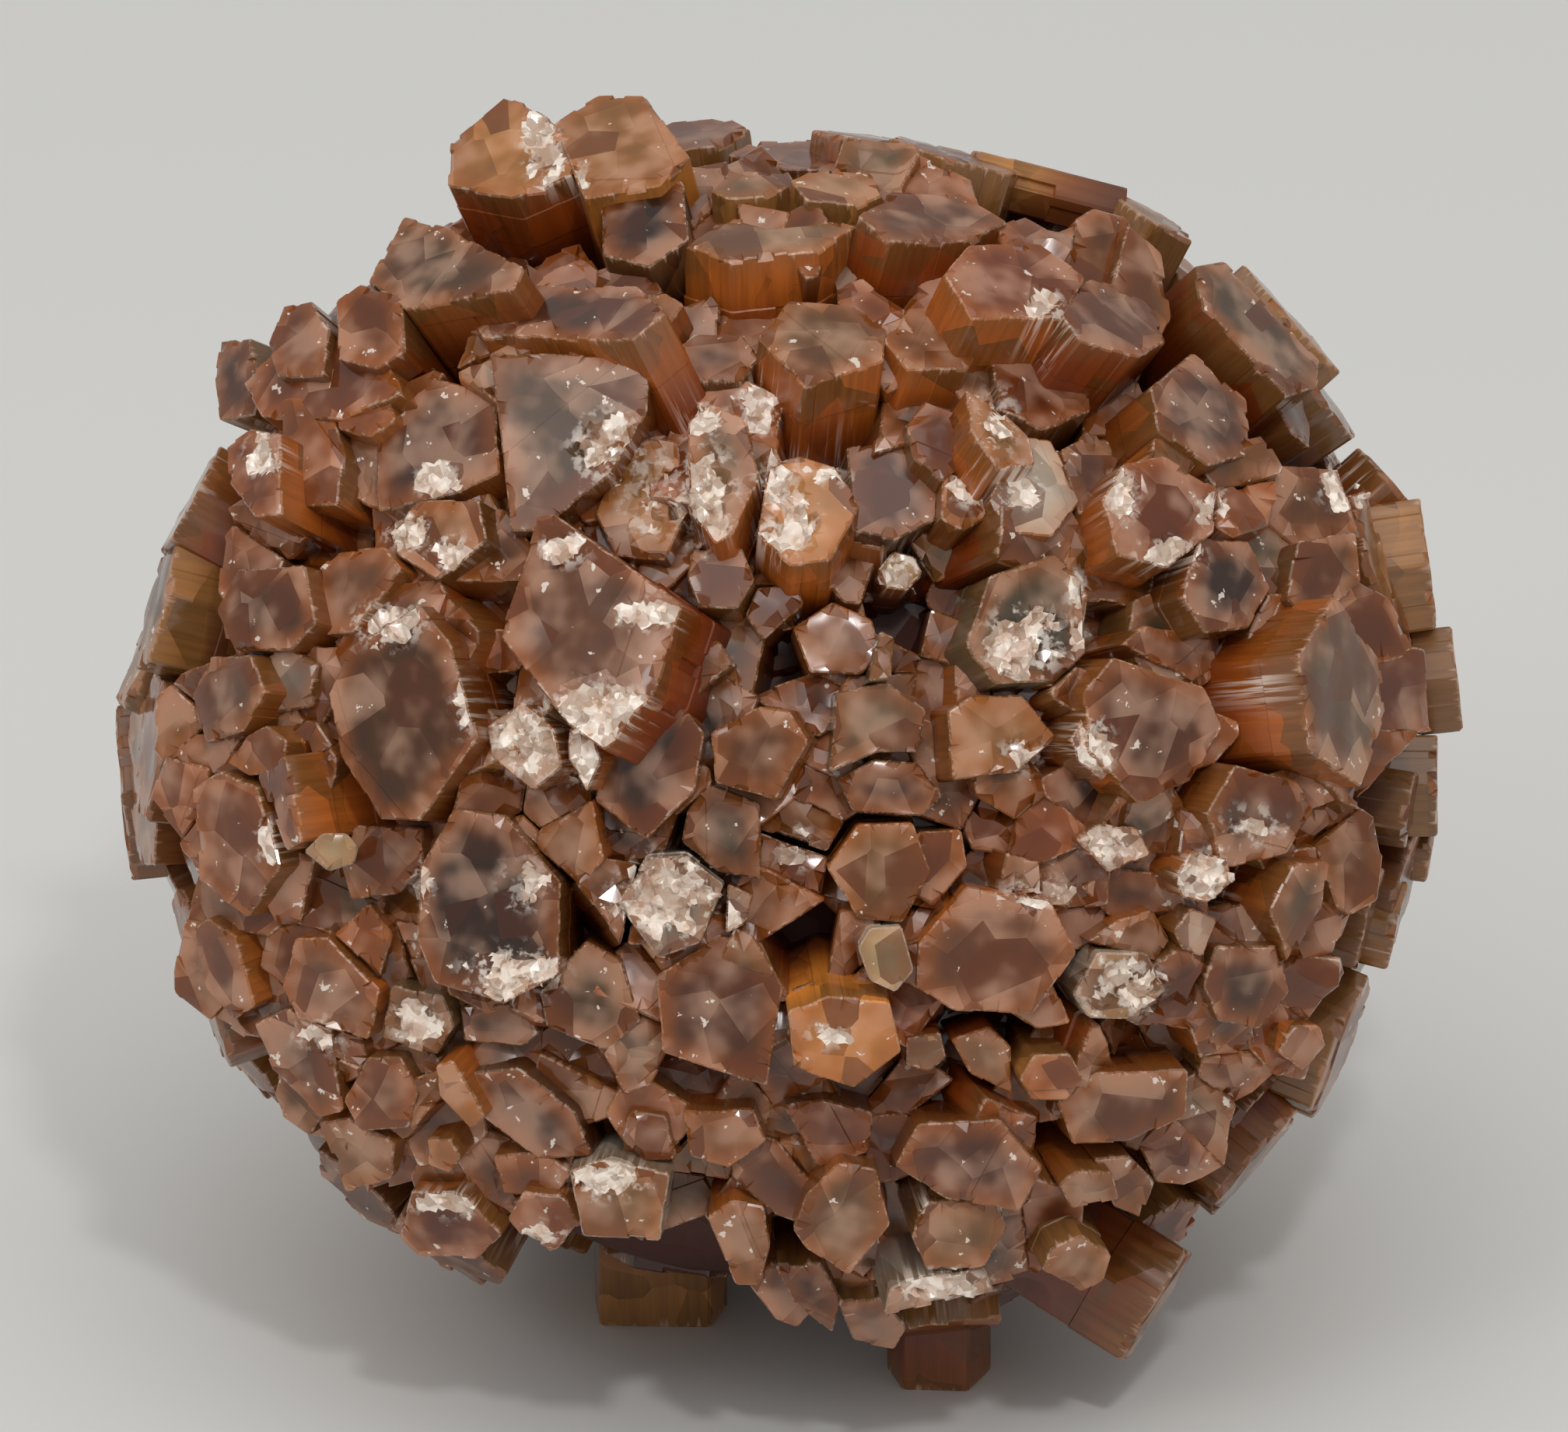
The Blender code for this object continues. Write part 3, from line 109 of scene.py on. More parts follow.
# Crystals whose end faces show, from the top left to the bottom right.
FACING = (
    facing("horn_left", ((-17.2, 28.3), (-17.1, 30.6), (-14.3, 33.0), (-12.8, 32.5), (-10.2, 30.2),
        (-11.0, 28.8), (-13.8, 27.6)), rise=6.0, lean=-36.0, length=15.0),
    facing("horn_right", ((-11.9, 31.5), (-9.6, 33.0), (-7.1, 33.0), (-4.8, 29.7), (-6.4, 28.2),
        (-10.2, 27.6)), rise=4.0, lean=-30.0, length=15.0),
    facing("top_left_slab", ((-21.2, 23.4), (-19.4, 26.8), (-17.2, 26.2), (-13.2, 24.0),
        (-13.7, 22.8), (-19.2, 21.9)), rise=3.0, lean=-18.0),
    facing("left_knob", ((-29.0, 20.6), (-27.3, 20.7), (-26.9, 18.0), (-27.2, 16.6), (-28.9, 16.4),
        (-29.2, 18.6)), rise=3.0, lean=-16.0, swing=12.0),
    facing("orange_knob", ((-26.3, 20.2), (-25.6, 22.2), (-24.1, 22.5), (-23.1, 21.0),
        (-23.4, 18.6), (-25.8, 18.6)), rise=3.0, lean=-26.0),
    facing("orange_box", ((-22.8, 22.4), (-21.6, 23.3), (-19.3, 22.7), (-19.2, 19.7),
        (-20.6, 18.8), (-22.7, 19.4)), rise=3.0, lean=-30.0),
    facing("left_red", ((-22.9, 17.4), (-21.9, 18.4), (-20.0, 18.0), (-19.7, 16.4), (-20.9, 15.4),
        (-22.6, 15.8)), rise=1.0, lean=-15.0),
    facing("left_chipped", ((-28.4, 15.1), (-27.0, 16.0), (-25.5, 15.7), (-25.5, 11.5),
        (-26.8, 11.4), (-28.2, 13.2)), rise=3.0, lean=-18.0),
    facing("left_orange_side", ((-25.6, 17.4), (-23.2, 17.8), (-22.4, 14.6), (-22.6, 12.0),
        (-24.4, 12.0), (-25.6, 13.6)), rise=0.8, lean=-18.0),
    facing("left_mauve", ((-20.7, 15.2), (-17.9, 18.5), (-14.6, 17.6), (-14.4, 13.6),
        (-16.4, 12.6), (-20.5, 11.7)), rise=0.6, lean=-12.0),
    facing("white_left", ((-19.9, 10.7), (-18.5, 12.2), (-15.4, 12.3), (-15.0, 10.2), (-17.5, 8.2),
        (-19.6, 9.5)), rise=1.6, lean=-6.0),
    facing("upper_plank", ((-16.2, 22.3), (-14.6, 23.2), (-7.4, 23.0), (-6.0, 21.6), (-7.6, 20.2),
        (-15.4, 20.6)), rise=1.6, lean=4.0),
    facing("upper_big", ((-14.9, 19.7), (-6.7, 19.5), (-6.9, 16.6), (-8.8, 13.4), (-12.3, 10.6),
        (-13.8, 10.6)), rise=2.2, lean=-20.0, length=15.0),
    facing("upper_rough", ((-7.9, 15.6), (-5.4, 15.2), (-4.9, 11.6), (-6.0, 9.2), (-8.6, 9.4),
        (-9.6, 11.6)), rise=0.4, lean=-4.0),
    facing("top_dark_block", ((-9.4, 27.8), (-7.6, 29.0), (-5.2, 28.4), (-4.9, 25.4), (-6.8, 24.0),
        (-9.2, 24.6)), rise=1.2, lean=-20.0),
    facing("top_lens", ((-5.3, 25.2), (-3.4, 26.6), (1.4, 26.8), (3.7, 26.1), (1.6, 24.8),
        (-2.8, 24.3)), rise=0.6, lean=9.0),
    facing("top_lavender", ((-3.9, 28.0), (-2.8, 29.1), (-0.6, 29.0), (0.3, 28.3), (-1.0, 27.6),
        (-3.0, 27.5)), lean=2.0),
    facing("top_tan", ((0.2, 28.5), (1.6, 29.2), (4.4, 29.0), (5.0, 27.8), (3.6, 27.2),
        (1.0, 27.4)), rise=0.4),
    facing("upper_red", ((-5.7, 19.6), (-4.6, 20.7), (-2.3, 20.6), (-1.3, 19.4), (-2.4, 18.2),
        (-4.8, 18.2)), rise=0.2),
    facing("upper_grey", ((-1.4, 20.5), (0.2, 22.3), (3.6, 22.0), (5.1, 20.8), (4.9, 19.2),
        (1.0, 18.0)), rise=1.6, lean=6.0),
    facing("top_mauve_lens", ((3.6, 26.6), (5.4, 28.0), (8.8, 27.9), (11.3, 26.4), (9.4, 25.3),
        (5.2, 25.2)), rise=1.0, lean=6.0),
    facing("top_red_chipped", ((7.9, 23.6), (9.2, 25.2), (12.8, 25.3), (15.2, 23.6), (14.0, 21.4),
        (9.4, 21.3)), rise=2.4, lean=-8.0),
    facing("upper_brown", ((4.9, 20.3), (6.2, 22.0), (9.0, 22.1), (10.2, 20.6), (9.2, 18.8),
        (6.2, 18.7)), rise=0.8),
    facing("top_orange_small", ((10.6, 26.2), (12.0, 26.8), (13.4, 26.0), (13.2, 24.6),
        (11.4, 24.4)), rise=0.2),
    facing("upper_right_lens", ((13.6, 22.0), (15.4, 23.6), (18.4, 22.6), (19.4, 20.4),
        (17.8, 19.4), (14.8, 20.2)), rise=1.4),
    facing("upper_right_side", ((10.4, 19.2), (12.6, 20.4), (15.0, 19.4), (15.4, 16.8),
        (13.0, 15.8), (10.8, 16.8)), rise=-0.6),
    facing("right_top_mauve", ((18.4, 18.0), (20.6, 19.8), (23.4, 17.4), (23.6, 14.6),
        (21.4, 14.0), (18.8, 15.8)), rise=0.6, lean=-6.0),
    facing("right_lavender", ((20.9, 24.3), (22.4, 24.6), (27.3, 19.4), (27.0, 18.1), (25.4, 17.6),
        (21.2, 22.2)), rise=1.2, lean=2.0),
    facing("centre_reddish", ((6.0, 16.0), (6.9, 17.3), (8.6, 16.6), (9.1, 14.2), (7.9, 13.1),
        (6.4, 14.4)), rise=0.8),
    facing("pale_lath", ((9.1, 17.8), (10.0, 17.6), (12.2, 15.4), (12.5, 14.0), (10.6, 13.8),
        (9.3, 15.6)), rise=2.2, lean=10.0),
    facing("pale_grey", ((11.8, 15.5), (13.4, 15.4), (14.9, 12.2), (13.4, 10.3), (11.0, 10.5),
        (10.2, 12.4)), rise=1.8, lean=-6.0),
    facing("pink_column", ((7.9, 13.6), (9.7, 13.2), (10.1, 11.4), (8.9, 10.7), (7.8, 11.2)),
        rise=1.2),
    facing("dark_upper", ((3.0, 14.9), (5.6, 15.5), (7.7, 13.6), (7.6, 11.2), (5.6, 10.2),
        (3.4, 10.6)), rise=0.2),
    facing("white_cluster_left", ((-4.9, 16.2), (-3.7, 17.1), (-1.9, 16.2), (-1.3, 13.4),
        (-2.6, 10.4), (-3.6, 10.1), (-5.0, 12.0)), rise=3.0),
    facing("white_cluster_right", ((-0.9, 14.0), (0.8, 14.5), (2.6, 13.9), (3.8, 11.9), (2.3, 9.1),
        (0.2, 8.8), (-1.5, 10.6)), rise=3.0, lean=4.0),
    facing("orange_hexagon", ((-5.0, 8.4), (-4.6, 9.9), (-2.2, 9.9), (-1.5, 8.2), (-2.4, 6.7),
        (-4.4, 6.8)), rise=1.6),
    facing("mauve_wedge", ((-2.1, 6.4), (-1.4, 7.9), (0.6, 8.0), (1.0, 7.0), (-1.1, 5.1)),
        rise=0.6),
    facing("big_shield", ((-12.4, 11.4), (-11.6, 11.5), (-5.2, 7.0), (-6.6, 2.6), (-9.1, -0.3),
        (-11.0, 1.1), (-14.3, 5.4)), rise=4.2, lean=6.0, length=16.0),
    facing("left_hexagon", ((-23.0, 2.6), (-21.9, 4.9), (-18.4, 7.0), (-16.7, 5.0), (-15.4, 0.2),
        (-18.3, -3.9), (-20.4, -3.8), (-22.4, -0.6)), rise=3.0, lean=-14.0, length=16.0),
    facing("left_brown", ((-28.8, 6.7), (-27.8, 8.8), (-24.3, 9.0), (-23.6, 6.0), (-25.0, 4.7),
        (-27.8, 4.7)), rise=1.6, lean=-16.0),
    facing("left_mauve_cap", ((-23.6, 8.8), (-22.6, 9.7), (-20.2, 9.9), (-19.3, 8.8), (-21.7, 5.6),
        (-23.7, 5.4)), rise=1.0, lean=-8.0),
    facing("left_low_brown", ((-30.1, 2.6), (-29.2, 4.4), (-27.0, 4.5), (-26.2, 2.6), (-27.4, 0.6),
        (-29.4, 0.0)), rise=1.6, lean=-10.0),
    facing("left_pale_lump", ((-26.9, 4.0), (-25.2, 5.0), (-23.6, 4.0), (-24.0, 1.8),
        (-26.0, 1.5)), rise=1.0, lean=-12.0),
    facing("left_round", ((-28.3, -1.0), (-27.3, 0.4), (-26.1, 1.0), (-25.0, 0.2), (-25.3, -1.4),
        (-27.0, -1.7)), rise=2.4, lean=-12.0),
    facing("left_orange_cap", ((-30.0, -2.2), (-28.6, -1.4), (-26.6, -2.2), (-25.4, -6.2),
        (-27.2, -8.8), (-29.6, -7.0)), rise=2.6, lean=-14.0),
    facing("left_tall_mauve", ((-26.6, -1.6), (-25.1, -0.6), (-24.3, -4.9), (-25.1, -5.4)),
        rise=3.2, lean=8.0),
    facing("cream_oval", ((-24.1, -5.4), (-23.2, -4.5), (-22.0, -4.5), (-21.4, -5.2),
        (-21.6, -6.0), (-22.9, -6.4)), rise=3.0, lean=-40.0, length=6.0),
    facing("left_lower_mauve", ((-21.7, -4.1), (-18.2, -4.2), (-18.2, -6.2), (-19.5, -7.6),
        (-21.9, -7.9), (-22.4, -6.2)), rise=0.8, lean=-6.0),
    facing("drusy_lump", ((-15.0, 0.8), (-13.2, 2.1), (-11.7, 0.8), (-11.2, -1.1), (-12.7, -2.4),
        (-14.8, -0.6)), rise=3.0),
    facing("glassy_drop", ((-10.9, 0.8), (-9.6, 0.4), (-9.2, -0.8), (-9.9, -2.4), (-10.8, -0.9)),
        rise=4.0, length=9.0),
    facing("dark_hexagon", ((-9.3, -0.8), (-7.6, 2.2), (-6.0, 3.0), (-4.0, 0.5), (-4.5, -2.4),
        (-7.0, -4.9), (-9.6, -2.9)), rise=1.4),
    facing("small_brown", ((-6.2, 3.3), (-5.8, 4.9), (-3.4, 5.2), (-2.6, 4.0), (-4.8, 2.1)),
        rise=1.0),
    facing("centre_hexagon", ((-3.8, 0.6), (-1.4, 1.9), (0.2, 1.7), (1.2, 0.1), (-0.5, -2.9),
        (-3.6, -2.0)), rise=1.8, lean=8.0),
    facing("grey_star", ((2.4, 0.6), (2.5, 2.5), (5.0, 3.1), (7.0, 1.7), (6.6, -0.4), (4.6, -0.4),
        (2.2, -1.4)), rise=1.0),
    facing("grey_spur", ((4.7, 5.7), (5.5, 5.3), (5.3, 3.2), (4.1, 3.1)), rise=2.0, length=8.0),
    facing("centre_brown", ((0.4, 5.8), (2.4, 7.1), (4.3, 6.2), (4.7, 4.6), (3.8, 3.5),
        (1.2, 3.6)), rise=0.2),
    facing("sparkling_cap", ((4.6, 8.7), (5.4, 9.7), (6.5, 9.4), (6.9, 8.5), (6.1, 7.7),
        (5.0, 7.8)), rise=-0.6),
    facing("glassy_cap", ((9.0, 5.0), (10.2, 8.4), (13.4, 9.5), (14.9, 8.3), (15.1, 4.6),
        (13.6, 3.1), (10.6, 3.0)), rise=2.2),
    facing("right_chipped", ((15.9, 12.2), (17.0, 14.1), (19.0, 14.5), (21.9, 12.8), (21.6, 10.6),
        (19.2, 8.8), (16.6, 9.4)), rise=2.4, lean=-10.0),
    facing("right_mauve", ((20.8, 10.4), (23.4, 10.2), (24.6, 7.9), (23.4, 5.8), (21.0, 5.5),
        (19.9, 7.4)), rise=1.4, lean=-8.0),
    facing("dark_grey", ((13.8, 14.8), (15.0, 15.4), (16.8, 14.3), (16.0, 12.2), (14.8, 11.4)),
        rise=0.0),
    facing("right_slab", ((16.8, 5.0), (18.0, 6.0), (21.6, 5.4), (21.9, 4.0), (20.6, 3.1)),
        rise=0.4),
    facing("right_hexagon", ((15.0, 2.6), (16.4, 4.3), (21.0, 2.8), (22.0, 0.8), (20.4, -1.8),
        (17.8, -3.0), (15.2, -0.4)), rise=2.4, lean=-6.0, length=15.0),
    facing("right_white_edge", ((14.2, 0.2), (15.1, 1.5), (16.8, -0.8), (15.9, -1.9),
        (14.7, -0.9)), rise=2.8),
    facing("right_big_cap", ((25.7, 4.4), (27.7, 7.4), (30.0, 4.5), (30.4, 1.5), (29.0, -2.2),
        (26.4, -0.4)), rise=3.0, lean=-6.0, length=17.0),
    facing("pink_block", ((8.1, 1.6), (9.4, 2.4), (11.8, 2.4), (13.6, 0.3), (11.6, -1.4),
        (8.4, -1.8)), rise=1.8),
    facing("arched_dark", ((2.6, -1.8), (4.4, -0.8), (6.6, -1.0), (7.9, -2.6), (6.8, -3.6),
        (3.4, -3.4)), rise=0.4),
    facing("dark_square", ((-4.9, -3.3), (-3.8, -2.0), (-1.3, -3.0), (-1.2, -6.8), (-3.4, -6.4),
        (-5.2, -4.9)), rise=0.4),
    facing("white_broken", ((-8.5, -8.0), (-7.0, -5.6), (-5.0, -5.5), (-3.0, -7.0), (-4.2, -10.0),
        (-6.4, -10.8)), rise=2.0),
    facing("pale_chip", ((-2.9, -7.0), (-1.6, -7.6), (-2.0, -9.0), (-3.0, -9.5)), rise=1.6),
    facing("centre_low_mauve", ((2.0, -6.2), (3.6, -4.0), (6.4, -3.9), (7.3, -6.4), (5.9, -9.0),
        (3.6, -8.8)), rise=1.0),
    facing("centre_low_side", ((6.6, -4.4), (8.8, -4.3), (9.1, -6.2), (7.4, -8.2), (6.2, -7.4)),
        rise=0.4),
    facing("cream_cap", ((3.6, -10.2), (4.2, -9.2), (5.8, -9.1), (6.4, -11.3), (5.5, -12.4),
        (4.2, -11.8)), rise=3.4, length=11.0),
    facing("low_right_big", ((6.6, -10.0), (9.0, -7.1), (13.3, -7.8), (14.6, -10.5), (12.4, -13.6),
        (8.4, -13.4), (6.5, -12.2)), rise=2.0, length=15.0),
    facing("amber_column", ((0.1, -13.4), (2.2, -12.6), (5.2, -12.9), (5.8, -15.4), (3.4, -17.3),
        (0.4, -16.2)), rise=3.4, lean=14.0, length=16.0),
    facing("low_dark_hexagon", ((-6.5, -11.6), (-3.4, -9.6), (-1.2, -9.9), (-0.1, -12.2),
        (-0.9, -17.2), (-6.2, -15.5)), rise=1.8, length=15.0),
    facing("low_left_brown", ((-12.4, -12.4), (-10.0, -9.8), (-8.2, -10.8), (-7.2, -13.9),
        (-8.9, -15.5), (-12.0, -14.3)), rise=0.6),
    facing("big_left_low", ((-18.4, -6.2), (-16.6, -3.2), (-13.9, -3.6), (-11.2, -7.0),
        (-11.3, -11.6), (-14.2, -13.1), (-17.6, -12.0), (-18.5, -9.8)), rise=2.6, lean=-4.0,
        length=15.0),
    facing("dark_grey_slab", ((-16.4, -13.2), (-13.4, -13.0), (-12.3, -14.6), (-13.2, -15.3),
        (-16.2, -15.0)), rise=-0.2),
    facing("grey_glassy", ((-20.5, -14.9), (-19.9, -12.1), (-17.2, -12.7), (-16.6, -14.2),
        (-17.6, -15.8)), rise=1.0),
    facing("left_low_mauve", ((-25.4, -12.2), (-24.7, -9.8), (-23.0, -9.8), (-20.5, -12.5),
        (-21.0, -14.9), (-24.6, -14.0)), rise=1.6, lean=-10.0),
    facing("left_low_orange", ((-22.8, -9.6), (-21.0, -8.0), (-19.8, -9.6), (-20.4, -11.8)),
        rise=0.6, lean=-10.0),
    facing("left_low_rim", ((-30.1, -9.4), (-29.2, -8.8), (-27.8, -9.8), (-26.8, -13.3),
        (-28.0, -14.1), (-29.4, -12.4)), rise=2.4, lean=-14.0),
    facing("left_bottom_pale", ((-26.9, -14.2), (-25.2, -13.4), (-23.0, -14.6), (-22.4, -18.6),
        (-23.6, -18.9), (-25.9, -16.6)), rise=2.4, lean=-16.0),
    facing("low_orange_cap", ((-22.3, -18.0), (-21.1, -15.8), (-19.3, -15.8), (-18.5, -17.6),
        (-19.0, -19.4), (-21.5, -19.6)), rise=2.0, lean=-14.0),
    facing("pale_crescent", ((-17.6, -16.2), (-16.7, -15.9), (-15.1, -18.8), (-15.8, -19.4),
        (-17.4, -17.8)), rise=2.2),
    facing("low_dark_arch", ((-15.8, -16.6), (-13.4, -16.3), (-10.6, -18.6), (-9.8, -20.8),
        (-12.4, -21.0), (-15.2, -18.8)), rise=0.8),
    facing("low_tan_block", ((-23.7, -19.2), (-22.2, -18.9), (-19.7, -20.2), (-20.0, -22.1),
        (-22.3, -22.8)), rise=2.0, lean=-6.0),
    facing("low_small_cap", ((-18.2, -20.0), (-16.9, -19.9), (-16.3, -20.9), (-16.9, -21.7),
        (-18.1, -21.3)), rise=2.0),
    facing("low_red_cap", ((-19.6, -25.0), (-18.9, -22.6), (-16.2, -22.8), (-14.3, -24.8),
        (-15.6, -26.1), (-18.6, -26.0)), rise=2.8, lean=-16.0),
    facing("low_pale_red", ((-14.0, -24.0), (-13.2, -22.6), (-11.2, -22.8), (-10.5, -24.2),
        (-11.6, -25.6), (-13.3, -24.9)), rise=2.2, lean=-12.0),
    facing("low_orange_fill", ((-14.8, -20.8), (-12.4, -20.6), (-10.8, -21.6), (-11.6, -23.2),
        (-14.2, -22.8)), rise=1.0),
    facing("silver_block", ((-10.9, -21.5), (-9.2, -20.9), (-5.8, -21.6), (-6.3, -25.0),
        (-10.2, -24.8)), rise=2.8, lean=-14.0),
    facing("low_mauve_slab", ((-8.3, -19.8), (-7.8, -18.5), (-6.0, -18.8), (-5.5, -20.9),
        (-7.2, -21.0)), rise=0.8),
    facing("low_brown_slab", ((-5.2, -18.4), (-1.6, -18.3), (-0.9, -20.0), (-2.8, -21.4),
        (-4.9, -20.8)), rise=0.6),
    facing("low_lavender", ((-3.9, -23.9), (-2.7, -23.1), (-1.1, -23.4), (-0.8, -25.4),
        (-1.3, -27.3), (-2.5, -27.3)), rise=1.6, lean=-8.0),
    facing("low_centre_cap", ((0.3, -24.4), (1.0, -22.6), (2.6, -21.0), (4.6, -21.3), (5.3, -24.2),
        (3.2, -26.8), (1.0, -25.4)), rise=3.0, lean=-14.0),
    facing("low_red_hexagon", ((5.4, -21.2), (6.6, -19.0), (10.8, -18.8), (13.0, -21.3),
        (11.8, -23.6), (8.0, -22.9)), rise=3.2, lean=-14.0, length=15.0),
    facing("low_under_hexagon", ((6.3, -24.8), (7.0, -23.0), (10.6, -23.0), (11.2, -24.4),
        (10.0, -26.4), (7.2, -26.8)), rise=3.4, lean=-12.0),
    facing("silver_ledge", ((5.0, -28.8), (5.3, -27.5), (10.0, -26.4), (10.5, -27.8)), rise=4.2,
        lean=-16.0),
    facing("low_dark_red", ((2.6, -28.4), (4.8, -28.0), (6.2, -29.6), (5.6, -30.8), (3.4, -30.4)),
        rise=1.6, lean=-12.0),
    facing("low_dark_edge", ((-0.6, -26.4), (1.8, -26.2), (2.9, -28.2), (2.4, -30.0),
        (0.4, -28.4)), rise=0.6, lean=-6.0),
    facing("low_small_prism", ((12.9, -26.6), (13.4, -25.4), (14.9, -24.7), (16.5, -25.8),
        (16.1, -27.2), (15.0, -27.8)), rise=4.6, lean=-20.0),
    facing("low_tan_prism", ((13.6, -18.0), (15.6, -16.5), (20.3, -16.4), (20.2, -18.8),
        (17.4, -20.1), (14.4, -20.2)), rise=2.0, lean=-12.0),
    facing("small_barrel", ((11.7, -16.8), (12.4, -15.6), (14.3, -15.5), (15.0, -16.8),
        (14.2, -18.0), (12.3, -18.0)), rise=1.8),
    facing("right_low_druse", ((14.4, -12.6), (15.6, -10.4), (18.2, -10.5), (19.2, -12.4),
        (17.6, -13.9), (15.2, -13.8)), rise=2.0),
    facing("right_shard", ((15.0, -10.0), (16.6, -8.8), (18.5, -8.3), (19.4, -9.8), (18.7, -11.0)),
        rise=1.2),
    facing("right_dark_slab", ((14.8, -7.2), (16.4, -6.2), (19.8, -6.6), (20.2, -8.4),
        (16.4, -8.8))),
    facing("right_pale_lump", ((14.5, -4.8), (15.6, -4.0), (17.6, -4.2), (18.4, -5.6),
        (16.2, -6.5)), rise=1.4),
    facing("right_white_lump", ((19.6, -6.6), (20.4, -5.4), (22.2, -5.8), (22.5, -7.0),
        (21.2, -8.0), (19.9, -7.7)), rise=2.6),
    facing("right_broken_mauve", ((21.2, -3.4), (22.6, -1.1), (25.8, -1.9), (26.6, -3.2),
        (25.4, -5.6), (22.0, -6.3)), rise=2.0, lean=-6.0),
    facing("right_low_lens", ((24.4, -8.4), (25.6, -6.1), (27.4, -6.0), (27.1, -8.4),
        (25.4, -11.0)), rise=2.4, lean=-4.0),
    facing("right_low_mauve", ((21.0, -12.2), (21.6, -10.2), (24.8, -10.2), (25.4, -12.6),
        (23.8, -14.4), (21.8, -14.0)), rise=2.0, lean=-10.0),
    facing("right_small_round", ((24.9, -15.6), (25.6, -14.3), (27.0, -14.3), (27.4, -15.4),
        (26.2, -16.6)), rise=3.0, lean=-12.0),
    facing("right_pale_chip", ((19.4, -9.4), (20.4, -8.2), (21.8, -8.8), (21.0, -10.8),
        (19.9, -10.4)), rise=1.8),
    facing("low_grey_chip", ((13.7, -22.2), (14.6, -21.5), (16.5, -21.6), (16.9, -23.0),
        (14.4, -23.5)), rise=2.6, lean=-6.0),
    facing("low_right_wedge", ((15.6, -21.0), (17.3, -20.8), (18.7, -22.2), (18.0, -24.0),
        (16.6, -23.4)), rise=1.4, lean=-6.0),
    facing("small_cream", ((6.0, -14.7), (7.8, -14.4), (8.1, -15.8), (7.2, -16.5), (6.0, -16.2)),
        rise=1.2),
    facing("lavender_slab", ((8.2, -14.8), (10.2, -14.1), (11.4, -15.2), (11.4, -17.8),
        (9.2, -16.6)), rise=0.4),
    facing("low_deep_orange", ((-0.1, -18.2), (2.0, -17.9), (4.4, -18.6), (4.2, -20.6),
        (1.6, -21.3)), rise=0.2),
)

# One more end face, at the upper left, which the small crystals around it take no note of.
EXTRA = (
    facing("knob_base", ((-27.6, 18.4), (-25.4, 20.4), (-20.6, 20.4), (-19.4, 17.6), (-22.6, 16.4),
        (-26.6, 16.6)), rise=1.0, lean=-20.0),
)

# Crystals that show their sides, most of them at the rim.
STANDING = (
    standing("left_rim_high", (-32.0, 6.9, -2.0), 155.0, 79.0, 7.0, 11.0),
    standing("left_rim_middle", (-33.0, -2.0, -3.0), 183.0, 76.0, 7.4, 8.6),
    standing("left_rim_back", (-34.2, -2.6, 3.6), 186.0, 92.0, 7.0, 9.0),
    standing("left_rim_low", (-31.7, -7.2, 1.6), 205.0, 86.0, 6.0, 5.0, length=11.0),
    standing("left_rim_tan", (-29.3, 11.8, -5.0), 150.0, 76.0, 4.0, 4.4, length=10.0),
    standing("right_rim_high", (33.0, 9.2, -1.0), 8.0, 90.0, 7.0, 6.8),
    standing("right_rim_side", (30.2, 9.4, -7.0), 14.0, 72.0, 3.6, 7.0, length=11.0),
    standing("right_rim_top", (31.0, 13.6, 0.0), 42.0, 90.0, 6.0, 4.6),
    standing("right_rim_bump", (34.5, 3.3, 0.0), 6.0, 90.0, 6.2, 5.4),
    standing("right_rim_blocks", (33.4, -2.2, -3.0), 0.0, 88.0, 6.6, 5.4),
    standing("right_rim_step", (33.2, -5.6, 1.0), 352.0, 90.0, 6.4, 3.4),
    standing("right_rim_low", (31.4, -9.4, -2.0), 346.0, 88.0, 6.0, 4.6),
    standing("right_rim_inner", (29.9, -9.0, -6.0), 344.0, 84.0, 5.0, 5.4, length=11.0),
    standing("right_bottom_band", (27.6, -13.2, -1.0), 326.0, 82.0, 6.0, 4.2, length=11.0),
    standing("right_bottom_edge", (24.6, -17.6, -1.0), 316.0, 80.0, 7.0, 6.6),
    standing("right_orange_wedge", (22.0, -18.8, -6.0), 304.0, 84.0, 5.0, 3.8, length=11.0),
    standing("low_right_prism", (19.0, -28.8, -7.0), 328.0, 84.0, 6.6, 6.6, length=16.0),
    standing("top_barrel", (9.4, 29.0, -6.0), 166.0, 77.0, 3.6, 2.7, length=8.0),
    standing("top_wedge", (8.2, 28.6, -1.0), 84.0, 86.0, 6.0, 5.0, length=11.0),
    standing("top_right_block", (19.0, 26.9, -5.0), 62.0, 80.0, 4.6, 4.4, length=11.0),
    standing("top_right_tan", (14.6, 28.4, -3.0), 68.0, 84.0, 5.0, 5.0, length=11.0),
    standing("right_tan_prism", (26.0, 21.8, -2.0), 42.0, 86.0, 6.4, 7.4),
    standing("right_upper_edge", (28.0, 17.4, -3.0), 34.0, 84.0, 5.4, 4.2, length=11.0),
    standing("top_middle_back", (1.2, 29.1, 1.0), 88.0, 88.0, 6.0, 8.0, length=11.0),
    standing("left_upper_back", (-24.6, 20.8, 2.0), 140.0, 88.0, 6.4, 6.0, length=11.0),
    standing("low_brown_under", (-17.4, -26.6, -1.0), 236.0, 84.0, 5.0, 4.6, length=11.0),
)

